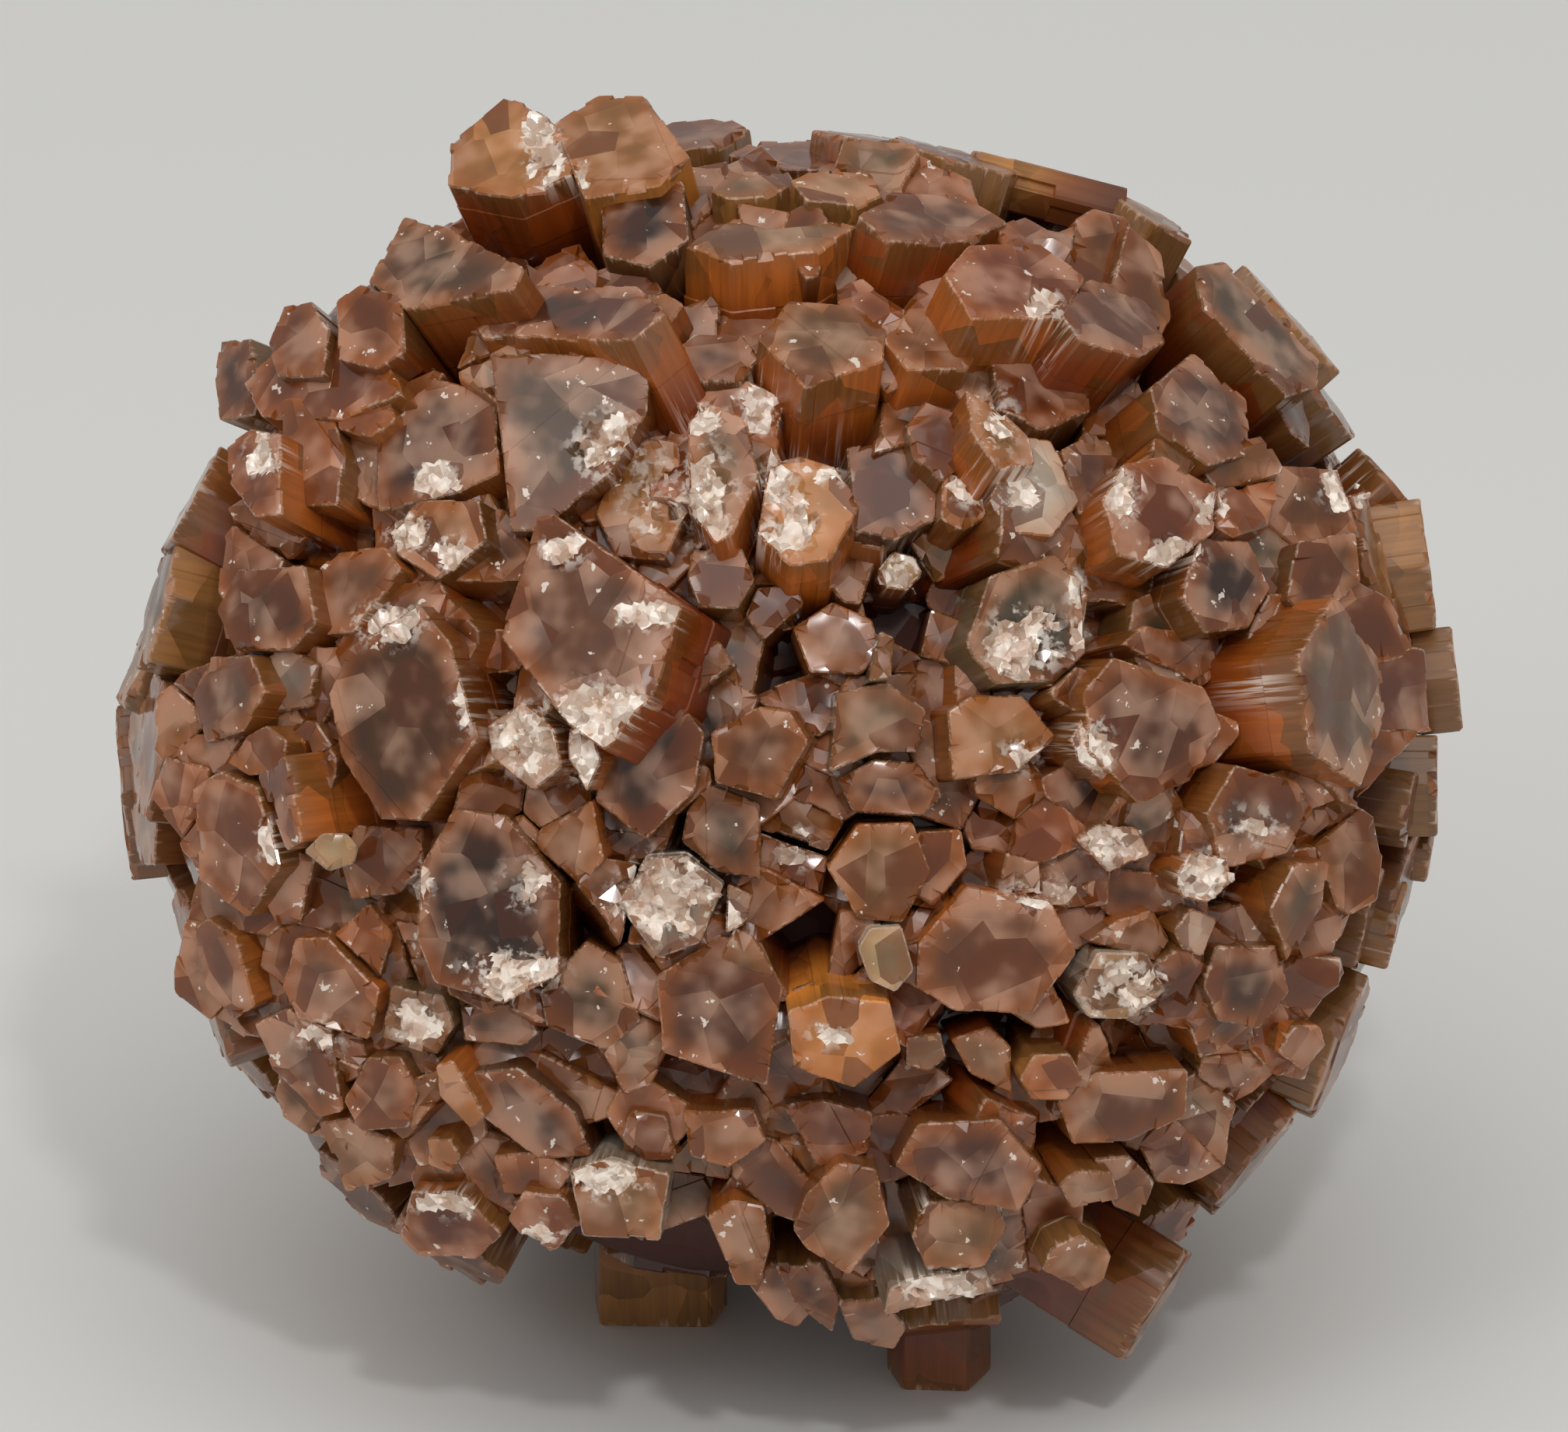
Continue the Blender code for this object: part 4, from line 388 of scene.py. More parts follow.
# Upright crystals with flat ends that it stands on: outlines seen from above, across and behind
# the middle of the ball.
Foot = namedtuple("Foot", "name outline length")
FEET = (
    Foot("foot_left", ((-9.6, -7.1), (-3.9, -7.3), (-3.0, -4.6), (-4.2, -1.4), (-8.6, -1.2),
        (-9.9, -4.0)), 9.0),
    Foot("foot_right", ((6.0, -14.6), (9.4, -14.8), (10.6, -12.2), (9.6, -9.9), (6.6, -9.8),
        (5.2, -12.0)), 9.0),
    Foot("foot_back_left", ((-12.6, 7.2), (-9.4, 6.8), (-7.4, 9.2), (-8.6, 12.0), (-11.8, 12.6),
        (-13.8, 10.0)), 11.0),
    Foot("foot_back_right", ((8.0, 8.6), (11.6, 8.0), (13.6, 10.8), (12.2, 13.8), (8.8, 14.0),
        (6.8, 11.4)), 11.0),
)


# Colours, as they look on a screen, 0 to 255.
TONES = {
    "mauve": (137, 84, 53), "dark_mauve": (105, 61, 38), "lavender": (155, 120, 87),
    "grey_brown": (139, 95, 49), "brown": (141, 81, 25), "dark_brown": (81, 38, 9),
    "red": (150, 73, 27), "deep_red": (112, 40, 7), "dark_red": (65, 21, 3),
    "orange": (184, 100, 37), "deep_orange": (158, 73, 22), "amber": (232, 146, 62),
    "peach": (222, 150, 82), "tan": (190, 132, 72), "clay": (148, 102, 57),
    "rust": (142, 69, 20), "ember": (106, 48, 15), "cream": (235, 223, 178),
    "pale": (250, 237, 223), "haze": (212, 170, 144), "grey": (132, 114, 87),
    "dark_grey": (69, 55, 40),
}
SHADE = (0.5, 1.45)        # a crystal's own lightness, as a share of its tone
WARMTH = (0.9, 0.85, 0.75)  # what is left of every tone's red, green and blue
END_TONES = {
    "mauve": ("left_knob left_mauve_cap left_tall_mauve left_lower_mauve left_low_mauve "
              "left_low_rim upper_right_lens right_top_mauve top_mauve_lens low_mauve_slab "
              "right_broken_mauve right_low_mauve low_right_big left_bottom_pale big_shield"),
    "dark_mauve": ("left_mauve upper_plank dark_hexagon mauve_wedge right_mauve right_slab "
                   "right_hexagon low_dark_hexagon big_left_low right_dark_slab"),
    "lavender": "top_lens top_lavender right_lavender right_big_cap right_low_lens lavender_slab",
    "grey_brown": ("top_left_slab upper_big upper_grey small_brown white_cluster_left "
                   "centre_low_mauve low_left_brown low_lavender low_centre_cap right_shard"),
    "brown": ("upper_brown left_brown left_low_brown left_round left_hexagon centre_hexagon "
              "centre_brown centre_low_side low_brown_slab right_small_round low_tan_prism"),
    "dark_brown": "top_dark_block dark_upper arched_dark low_dark_arch low_dark_edge upper_red",
    "red": ("left_red left_chipped top_red_chipped centre_reddish right_chipped low_red_cap "
            "low_pale_red low_red_hexagon"),
    "dark_red": "low_dark_red",
    "rust": "knob_base",
    "orange": ("orange_knob orange_box left_orange_side orange_hexagon left_orange_cap "
               "left_low_orange low_orange_cap low_orange_fill top_orange_small small_barrel"),
    "deep_orange": "upper_right_side low_deep_orange",
    "amber": "white_left amber_column",
    "peach": "horn_left horn_right pink_block white_cluster_right low_small_cap pink_column",
    "tan": ("upper_rough top_tan pale_crescent low_tan_block silver_block low_small_prism "
            "low_right_wedge low_under_hexagon pale_lath"),
    "cream": "cream_oval cream_cap sparkling_cap right_low_druse small_cream",
    "pale": ("pale_grey left_pale_lump drusy_lump glassy_drop right_white_edge white_broken "
             "pale_chip silver_ledge right_pale_lump right_white_lump right_pale_chip"),
    "grey": "grey_star grey_spur grey_glassy low_grey_chip glassy_cap",
    "dark_grey": "dark_grey dark_square dark_grey_slab",
}
SIDE_TONES = {
    "dark_red": ("top_dark_block arched_dark low_dark_arch low_dark_edge low_dark_red "
                 "dark_upper upper_red dark_square"),
    "deep_orange": ("top_mauve_lens upper_right_side upper_right_lens right_lavender "
                    "low_deep_orange orange_knob orange_box horn_left big_shield"),
    "amber": "amber_column orange_hexagon horn_right",
    "tan": ("left_knob low_small_prism right_rim_high right_rim_bump "
            "right_rim_blocks right_rim_step right_rim_low right_rim_inner top_barrel "
            "top_right_block top_right_tan right_tan_prism right_upper_edge left_rim_high "
            "left_rim_tan small_barrel low_under_hexagon top_tan top_lavender foot_left"),
    "pale": "silver_ledge silver_block white_broken cream_cap cream_oval right_low_druse",
    "grey": "grey_star grey_spur grey_glassy glassy_cap",
    "dark_grey": "dark_grey_slab",
}
PLAIN_END_TONES = ("dark_brown", "dark_mauve", "brown", "mauve", "red", "grey_brown", "brown",
                   "orange", "grey", "tan")
PLAIN_SIDE_TONES = ("rust", "deep_orange", "orange", "tan")

Patch = namedtuple("Patch", "across up half_width half_height white dip")
PATCHES = (
    # White, broken or drusy places, from the top left to the bottom right.
    Patch(-12.4, 30.4, 0.9, 1.7, 0.9, 0.3), Patch(-11.3, 28.6, 1.2, 0.8, 0.7, 0.3),
    Patch(-26.4, 14.6, 0.9, 1.0, 1.0, 0.4), Patch(-17.5, 13.2, 1.0, 0.8, 0.9, 0.2),
    Patch(-19.0, 10.6, 1.1, 0.9, 1.0, 0.5), Patch(-16.8, 9.6, 0.9, 0.8, 1.0, 0.4),
    Patch(-9.0, 14.8, 1.7, 1.7, 0.7, 0.5), Patch(-6.6, 12.6, 1.6, 2.2, 0.4, 0.4),
    Patch(-1.2, 17.0, 1.1, 1.3, 0.9, 0.3), Patch(13.0, 22.0, 0.9, 0.8, 1.0, 0.4),
    Patch(13.3, 20.2, 1.1, 1.0, 1.0, 0.6), Patch(11.6, 12.8, 1.2, 1.0, 0.9, 0.4),
    Patch(9.2, 12.8, 0.8, 0.8, 1.0, 0.2), Patch(10.6, 16.2, 1.0, 1.6, 0.6, 0.1),
    Patch(-4.1, 12.2, 1.5, 2.4, 0.9, 0.8), Patch(-4.2, 16.2, 1.1, 0.7, 1.0, 0.2),
    Patch(-0.4, 13.0, 1.0, 1.1, 1.0, 0.5), Patch(0.5, 11.2, 1.0, 1.2, 1.0, 0.6),
    Patch(-0.6, 10.1, 1.1, 0.9, 1.0, 0.4), Patch(2.6, 13.4, 0.9, 0.5, 0.6, 0.1),
    Patch(-11.0, 9.8, 1.1, 0.9, 0.8, 0.2), Patch(-6.8, 6.4, 1.5, 0.7, 0.9, 0.3),
    Patch(-9.4, 1.6, 2.5, 1.3, 0.9, 0.4), Patch(-20.0, 6.0, 1.7, 1.0, 0.9, 0.4),
    Patch(-16.0, 2.2, 0.6, 1.6, 0.6, 0.1), Patch(-12.9, 0.2, 1.7, 1.9, 0.8, 0.6),
    Patch(-10.1, -0.6, 0.8, 1.4, 0.9, 0.2), Patch(-26.0, -4.9, 0.6, 1.0, 0.9, 0.2),
    Patch(5.7, 8.6, 1.1, 1.0, 1.0, 0.5), Patch(11.8, 5.0, 1.8, 1.7, 1.0, 0.7),
    Patch(14.6, 6.4, 0.6, 2.2, 0.6, 0.2), Patch(16.8, 12.4, 0.8, 1.2, 0.8, 0.3),
    Patch(19.2, 9.5, 1.6, 0.8, 0.9, 0.4), Patch(21.4, 12.0, 0.8, 1.0, 0.7, 0.3),
    Patch(15.3, -0.1, 1.0, 1.4, 0.9, 0.4), Patch(24.0, 3.0, 0.8, 0.8, 0.8, 0.2),
    Patch(-6.0, -7.6, 2.2, 2.1, 1.0, 0.8), Patch(-2.6, -8.6, 0.6, 0.9, 0.9, 0.2),
    Patch(12.6, -7.6, 1.7, 0.7, 0.8, 0.3), Patch(2.2, -14.6, 1.1, 0.5, 0.7, 0.2),
    Patch(-13.6, -11.5, 2.3, 1.2, 1.0, 0.6), Patch(-13.0, -7.0, 1.2, 1.2, 0.5, 0.3),
    Patch(-18.3, -6.8, 0.5, 0.9, 0.9, 0.2), Patch(-18.6, -14.0, 1.2, 1.0, 0.7, 0.4),
    Patch(-17.2, -23.2, 1.6, 0.6, 0.9, 0.2), Patch(-12.4, -24.8, 1.4, 0.6, 0.8, 0.2),
    Patch(-9.0, -21.9, 1.9, 0.9, 1.0, 0.4), Patch(7.7, -27.3, 2.4, 0.8, 1.0, 0.4),
    Patch(16.7, -12.2, 1.8, 1.4, 0.9, 0.7), Patch(21.0, -6.7, 1.4, 1.1, 1.0, 0.5),
    Patch(23.4, -4.2, 1.5, 1.0, 0.7, 0.5), Patch(16.4, -5.2, 1.4, 0.9, 0.8, 0.4),
    Patch(12.0, -0.6, 1.4, 0.8, 0.6, 0.3), Patch(28.4, 13.4, 1.4, 1.4, 0.8, 0.3),
    Patch(-28.2, -18.0, 0.8, 1.0, 0.5, 0.2), Patch(-23.4, -14.6, 1.4, 0.9, 0.5, 0.3),
    Patch(0.4, -5.2, 0.9, 0.9, 0.9, 0.4), Patch(6.8, -23.2, 0.5, 0.6, 0.9, 0.2),
)

# Boxes of the front where a prism side shows, so that no small crystal hides it: the lowest
# across and up, then the highest.
OPEN_SIDES = (
    (-5.0, 20.8, 2.0, 24.6), (-0.8, 15.2, 4.8, 18.8), (3.8, 23.4, 7.6, 25.4),
    (21.8, -2.0, 25.8, 5.6), (0.4, -12.6, 3.4, -9.4), (10.4, 13.6, 15.6, 17.0),
    (-16.6, 24.2, -5.6, 28.2), (17.6, 16.4, 24.6, 21.4), (5.0, 17.0, 9.4, 18.8),
    (-13.6, 19.9, -8.0, 20.4), (-19.4, 20.4, -16.6, 22.0), (13.6, -28.0, 22.0, -20.4),
)

# The hollow under the lower left, where only the foot shows, as such a box.
HOLLOW = (-14.5, -40.0, -0.5, -24.6)

# Sizes of the surface detail, in millimetres.
ACROSS_FLATS = 1.732       # a hexagon's width, in lengths of its side
STRIP = 0.8                # usual width of a strip on a prism side
STRIP_STEP = 0.07          # deepest step between two strips
CORNER_EASE = 0.12         # the strips stay off a prism's edge by this
SEAM = 0.03                # width of the slope between two steps
CHAMFER = 0.09             # worn edge of an end face
CASTLE = 0.3               # deepest notch in an end face's rim
BAND = 2.6                 # usual height of a growth band on a prism side
BAND_STEP = 0.1            # deepest step between two bands
BAND_IN = 0.7              # share of it that goes inward, while the rest stands out
BRICK_STEP = 0.22          # depth of a missing brick
BRICK_CHANCE = 0.07        # share of the bricks that are missing
FACE_GRID = 0.5            # between the points of an end face
COARSE_GRID = 1.3          # the same at the back
PATCH_GRID = 0.27          # the same in a white or broken place
ROW_PITCH = 0.87           # between the rows of a grid, as a share of its spacing
RIM_ROOM = 0.12            # the points stay off the rim by this
SWELL = 0.07               # height of an end face's slow unevenness
WEAR = 0.1                 # how far an end face falls towards its rim
WEAR_REACH = 0.7           # how far from the rim that starts
TERRACE = (0.04, 0.12)     # height of a growth step on an end face
STEP_CHANCE = 0.015        # growth steps for each millimetre of an end face's width
STEP_GRID = 0.4            # between the points along a growth step
STEP_ROOM = 0.2            # other points stay off it by this
BROKEN_FROM = 1.9          # roughness from which an end face is a broken one
BROKEN_STEP = 0.5          # height of its facets
BROKEN_SIZE = 2.2          # their width
FACET = 0.8                # width of the facets of a white or broken place
PATCH_FRAY = 0.8           # how uneven the edge of such a place is
FRONT_TO = 4.0             # how far back such places are
CELL_SPACING = 2.7         # between the crystals that fill the front between the large ones
CELL_JITTER = 0.9          # how uneven that is, as a share of it
CELL_SKIP = 0.25           # share of their places left out, so that the others differ in size
CELL_SINK = (0.25, 1.7)    # of their ends below the large end faces around them
CELL_DEEP = 0.14           # share of them that end far deeper
CELL_DEPTH = (2.0, 4.0)    # how much deeper
CELL_WHOLE = 0.35          # share of them whose end faces aren't broken
CELL_REACH = 2.4           # how near an end face counts as around them
CELL_TILT = 20.0           # how far they lean off their own way out
CELL_LEAN = 42.0           # most lean of a small front crystal
MOST_LEAN = 60.0           # most lean of a large one
CELL_LENGTH = 8.0
CELL_PROUD = 2.0           # most that they stand out of the ball's own outline
CELL_USUAL = 0.5           # how far they do, away from any large end face
CELL_OVERLAP = 1.08        # their size, as a share of the room between their neighbours
LEAST_EDGE = 0.4           # of their outlines
CELL_EDGE = 0.885          # the rim share that they reach
RIM_COUNT = 46             # ribbed crystals round the rim
RIM_SHARE = (0.88, 0.955)  # of their ends, as a share of the half sizes
RIM_BACK = (-9.0, 0.0)     # how far back their ends are
RIM_SIZE = (4.4, 7.0)      # their thickness
RIM_FLATNESS = (0.7, 1.2)  # their width, as a share of their thickness
RIM_LEANS = (68.0, 86.0)   # from the front direction
RIM_SWAY = (-9.0, 9.0)     # how far they turn off their own way out
CORE_HEIGHT = 0.82         # of the core that shows in the gaps, as a share of the half sizes
DRUSE_SPACING = 0.9        # between the tiny crystals of a drusy place
DRUSE_SIZE = (0.2, 0.6)    # their thickness
DRUSE_STRETCH = (0.9, 2.0)  # their length, as a share of it
DRUSE_SINK = 0.8           # behind the ball's own outline, away from any end face
DRUSE_LEAN = 78.0          # most lean of their surface there
DRUSE_POINTS = 9           # points whose hull makes each

END, SIDE, DRUSE = 0, 1, 2  # material slots

# A crystal of the list below: where its end face is, its own directions, outline and tones.
Grown = namedtuple("Grown", "middle along_a along_b axis flat end_tone side_tone")

# What an end face is made from: its places, outline, seed, roughness, patches and growth steps.
Top = namedtuple("Top", "place flat seed rough patches steps")

grown = []


def to_world(across, up, back):
    """Millimetres along the viewing directions to a point in metres, +Z up."""
    tilt = math.radians(FACE_ELEVATION)
    point = Vector((
        across,
        back * math.cos(tilt) + up * math.sin(tilt),
        up * math.cos(tilt) - back * math.sin(tilt),
    ))
    return (Vector(CENTRE) + point) * MM


def to_view(points):
    """An array of points in metres, as across, up and back in millimetres."""
    tilt = math.radians(FACE_ELEVATION)
    x, y, z = (points / MM - np.array(CENTRE)).T
    return np.stack((x, y * math.sin(tilt) + z * math.cos(tilt),
                     y * math.cos(tilt) - z * math.sin(tilt)), axis=1)


def rim_share(across, up):
    """0 at the middle of the front, 1 at the rim."""
    return math.hypot(across / HALF_WIDTH, up / HALF_HEIGHT)


def front_back(across, up):
    """How far back the crystal ends are at a place on the front."""
    share = min(rim_share(across, up), 0.985)
    return -HALF_DEPTH * (1.0 - share ** ROUNDNESS) ** (1.0 / ROUNDNESS)


def front_lean(across, up):
    """How far the crystals at a place on the front lean off the front direction."""
    low = min(max(-up / LOW_FROM, 0.0), 1.0)
    return RIM_LEAN * rim_share(across, up) ** (LEAN_POWER + low * (LOW_LEAN_POWER - LEAN_POWER))


def pointing(toward, lean):
    """A direction from its angle in the front view and its lean from the front direction."""
    toward, lean = math.radians(toward), math.radians(lean)
    return Vector((
        math.sin(lean) * math.cos(toward),
        math.sin(lean) * math.sin(toward),
        -math.cos(lean),
    ))


def back_at(across, up, spot, axis):
    """How far back a plane is at a place: the plane through a spot, square to an axis."""
    slide = (across - spot[0]) * axis.x + (up - spot[1]) * axis.y
    return spot[2] - slide / axis.z


def facing_corners(crystal):
    """The end face's corners in viewing millimetres, and the way that the crystal points."""
    across = sum(corner[0] for corner in crystal.face) / len(crystal.face)
    up = sum(corner[1] for corner in crystal.face) / len(crystal.face)
    toward = math.degrees(math.atan2(up, across)) + crystal.swing
    lean = front_lean(across, up) + crystal.lean
    axis = pointing(toward, min(lean, MOST_LEAN))
    middle = Vector((across, up, front_back(across, up) - crystal.rise))
    spot = (across, up, middle.z)
    return [Vector((*corner, back_at(*corner, spot, axis))) for corner in crystal.face], axis


def front_planes():
    """The outline of each large end face, with its corners and the way that it faces."""
    return [(crystal.face, *facing_corners(crystal)) for crystal in FACING]


def standing_corners(crystal, sides=6):
    """The end face's corners and the crystal's way, where its thickness is given."""
    axis = pointing(crystal.toward, crystal.lean)
    front = Vector((0.0, 0.0, -1.0))
    side = axis.cross(front).normalized()
    through = side.cross(axis)
    corners = []
    for index in range(sides):
        angle = math.radians(crystal.turn + 30.0 + 360.0 / sides * index)
        corners.append(
            Vector(crystal.end)
            + side * (math.cos(angle) * crystal.wide / ACROSS_FLATS)
            + through * (math.sin(angle) * crystal.deep / 2.0)
        )
    return corners, axis


def wobble(index, salt):
    """A fixed number from 0 to 1 for each crystal or part of one."""
    return (math.sin(index * 12.9898 + salt * 78.233) * 43758.5453) % 1.0


def between(limits, index, salt):
    """A fixed number between two limits for each crystal."""
    return limits[0] + (limits[1] - limits[0]) * wobble(index, salt)


def scatter(index, *salts):
    """A fixed way for each crystal, its three parts from -0.5 to 0.5."""
    return Vector([wobble(index, salt) - 0.5 for salt in salts])


def patch_weight(across, up, patch):
    """1 in the middle of a patch, 0 outside it, with an uneven edge."""
    reach = math.hypot((across - patch.across) / patch.half_width,
                       (up - patch.up) / patch.half_height)
    if reach > 2.0:
        return 0.0
    reach += PATCH_FRAY * noise.noise(Vector((across * 0.9, up * 0.9, patch.across)))
    return max(0.0, min(1.0, 2.5 * (1.05 - reach)))


def patches_near(corners):
    """The patches that may touch the end face of a front crystal."""
    low = [min(corner[axis] for corner in corners) for axis in (0, 1)]
    high = [max(corner[axis] for corner in corners) for axis in (0, 1)]
    return [patch for patch in PATCHES
            if low[0] - 1.5 * patch.half_width < patch.across < high[0] + 1.5 * patch.half_width
            and low[1] - 1.5 * patch.half_height < patch.up < high[1] + 1.5 * patch.half_height]


def plane_of(corners, axis):
    """The end face's own directions and its corners in them, anticlockwise."""
    middle = sum(corners, Vector()) / len(corners)
    along_a = axis.cross(Vector((0.31, 0.95, 0.02))).normalized()
    along_b = axis.cross(along_a)
    flat = [((corner - middle).dot(along_a), (corner - middle).dot(along_b))
            for corner in corners]
    if area_of(flat) < 0.0:
        flat.reverse()
    return middle, along_a, along_b, flat


def area_of(flat):
    """Area of an outline, below zero where it runs clockwise."""
    total = 0.0
    for (x0, y0), (x1, y1) in zip(flat, flat[1:] + flat[:1]):
        total += x0 * y1 - x1 * y0
    return total / 2.0


def rim_distance(flat, points):
    """Distance of points in an end face from its outline, as an array."""
    points = np.asarray(points, float).reshape(-1, 2)
    nearest = np.full(len(points), 1e9)
    for start, end in zip(flat, flat[1:] + flat[:1]):
        start, along = np.array(start), np.array(end) - np.array(start)
        share = np.clip((points - start) @ along / max(along @ along, 1e-9), 0.0, 1.0)
        nearest = np.minimum(nearest, np.hypot(*(points - start - share[:, None] * along).T))
    return nearest


Edge = namedtuple("Edge", "start along outward length start_mitre end_mitre")


def outline_edges(flat):
    """The outline's edges, with how much each end shortens when the outline shrinks by one."""
    corners = [Vector(corner) for corner in flat]
    alongs = [(after - corner).normalized()
              for corner, after in zip(corners, corners[1:] + corners[:1])]
    mitres = []
    for before, along in zip(alongs[-1:] + alongs[:-1], alongs):
        turn = math.atan2(before.x * along.y - before.y * along.x, before.dot(along))
        mitres.append(math.tan(turn / 2.0))
    edges = []
    for index, (corner, along) in enumerate(zip(corners, alongs)):
        length = (corners[(index + 1) % len(corners)] - corner).length
        edges.append(Edge(corner, along, Vector((along.y, -along.x)), length, mitres[index],
                          mitres[(index + 1) % len(corners)]))
    return edges


def profile_spot(edge, place, shift):
    """A point at a place along an edge, moved out by a shift, kept off the next edges."""
    shrink = edge.start_mitre + edge.end_mitre
    inward = -shift
    if shrink > 0.0:
        inward = min(inward, 0.7 * edge.length / shrink)
    along = inward * edge.start_mitre + place * (edge.length - inward * shrink) / edge.length
    return edge.start + edge.along * along - edge.outward * inward


def cut_in_strips(flat, strip, rough, seed):
    """The outline's points, each with its edge, its place along it, its step and its strip."""
    points = []
    strips = 0
    for number, edge in enumerate(outline_edges(flat)):
        length = edge.length
        ease = min(CORNER_EASE, 0.2 * length)
        count = max(1, round(length / strip))
        cuts = [ease] + [length * (index + 0.5 * wobble(seed + index, 21 + number) - 0.25) / count
                         for index in range(1, count)] + [length - ease]
        for index in range(count):
            step = -STRIP_STEP * rough * wobble(seed + index, 31 + number) ** 2
            if index in (0, count - 1):
                step *= 0.2
            start = cuts[index] + SEAM * (index > 0)
            end = cuts[index + 1] - SEAM * (index < count - 1)
            points += [(edge, start, step, strips), (edge, end, step, strips)]
            strips += 1
    return points


def growth_steps(flat, seed, rough):
    """Straight steps across an end face, along its edges: a direction, a place and a height."""
    steps = []
    for number, edge in enumerate(outline_edges(flat)):
        if wobble(seed + number, 201) < STEP_CHANCE * rough * min(edge.length, 5.0):
            place = -edge.start.dot(edge.outward) * between((-0.8, -0.2), seed + number, 202)
            steps.append((-edge.outward, place, between(TERRACE, seed + number, 203)))
    return steps


def end_relief(a, b, rim, top):
    """Height of an end face at a place, in millimetres above its plane."""
    height = SWELL * top.rough * noise.noise(Vector((a * 0.5, b * 0.5 + top.seed, 3.1)))
    if top.rough > BROKEN_FROM:
        height += BROKEN_STEP * facets(a, b, BROKEN_SIZE, top.seed)
    for way, place, rise in top.steps:
        if a * way.x + b * way.y > place:
            height -= rise
    height -= WEAR * max(0.0, 1.0 - rim / WEAR_REACH) ** 2
    spot = top.place(a, b, 0.0)
    for patch in top.patches:
        weight = patch_weight(spot.x, spot.y, patch)
        if weight > 0.0:
            hackle = facets(a, b, FACET, top.seed)
            hackle += 0.6 * facets(a, b, 2.1 * FACET, top.seed + 5.0)
            height += weight * (patch.dip * (hackle - 0.5) + 0.15 * hackle)
    return height


def facets(a, b, size, seed):
    """Height, about -0.5 to 0.5, of a surface broken into tilted facets."""
    spot = Vector((a / size, b / size, seed))
    middle = noise.voronoi(spot)[1][0]
    tilt = noise.cell_vector(middle * 9.7) - Vector((0.5, 0.5, 0.5))
    return 1.3 * tilt.dot(spot - middle) + 0.5 * tilt.z


def detailed_crystal(name, corners, axis, length, tones, collection, rough=1.0, detail=6.0,
                     strip=STRIP, grid=FACE_GRID):
    """A closed crystal with strips and bands on its sides and a stepped end face."""
    number = len(grown)
    seed = 17.0 * number + 3.0
    middle, along_a, along_b, flat = plane_of(corners, axis)
    grown.append(Grown(middle, along_a, along_b, axis, flat, *tones))

    def place(a, b, depth):
        return middle + along_a * a + along_b * b - axis * depth

    patches = patches_near(corners) if axis.z < 0.3 and middle.z < FRONT_TO else []
    top = Top(place, flat, seed, rough, patches, growth_steps(flat, seed, rough))
    profile = cut_in_strips(flat, strip, rough, seed)
    shape = bmesh.new()
    rows = [[shape.verts.new(side_spot(point, depth, band, top)) for point in profile]
            for depth, band in side_levels(length, detail, seed)]
    for upper, lower in zip(rows, rows[1:]):
        for index in range(len(profile)):
            following = (index + 1) % len(profile)
            shape.faces.new((upper[index], lower[index], lower[following], upper[following]))
    shape.faces.new(rows[-1])
    for face in shape.faces:
        face.material_index = SIDE
    close_end(shape, rows[0], grid, top)
    finish_shape(shape, name, number, collection)


def side_spot(point, depth, band, top):
    """Where a point of the outline is on the prism side, at a depth below the end face."""
    edge, along, step, strip = point
    brick = 0.0
    if band > 0 and wobble(top.seed + strip, 41 + band) < BRICK_CHANCE * top.rough:
        brick = -BRICK_STEP * wobble(top.seed + strip, 61 + band)
    shift = step + brick + BAND_STEP * top.rough * (wobble(top.seed + band, 51) - BAND_IN)
    if depth == 0.0:
        shift -= CHAMFER
    spot = profile_spot(edge, along, shift)
    if depth < CHAMFER * 1.5:
        depth += CASTLE * top.rough * wobble(top.seed + strip, 71) ** 3
        depth -= WEAR + end_relief(spot.x, spot.y, 0.0, top)
    return top.place(spot.x, spot.y, depth)


def finish_shape(shape, name, number, collection):
    """Makes an object of a closed shape, with its faces marked by the crystal's number."""
    marks = shape.faces.layers.int.new("crystal")
    for face in shape.faces:
        face[marks] = number
    bmesh.ops.recalc_face_normals(shape, faces=shape.faces)
    mesh = bpy.data.meshes.new(name)
    shape.to_mesh(mesh)
    closed = all(edge.is_manifold for edge in shape.edges)
    shape.free()
    made = bpy.data.objects.new(name, mesh)
    if closed:
        collection.objects.link(made)
    else:
        print("open crystal left out:", name)
    return made


def side_levels(length, detail, seed):
    """Depths below the end face, each with the number of its band."""
    levels = [(0.0, 0), (CHAMFER, 0)]
    depth = 0.0
    band = 0
    while True:
        depth += BAND * (0.5 + wobble(seed + band, 81))
        if depth > min(detail, length - 0.8):
            break
        levels.append((depth - SEAM, band))
        band += 1
        levels.append((depth + SEAM, band))
    levels.append((length, band))
    return levels


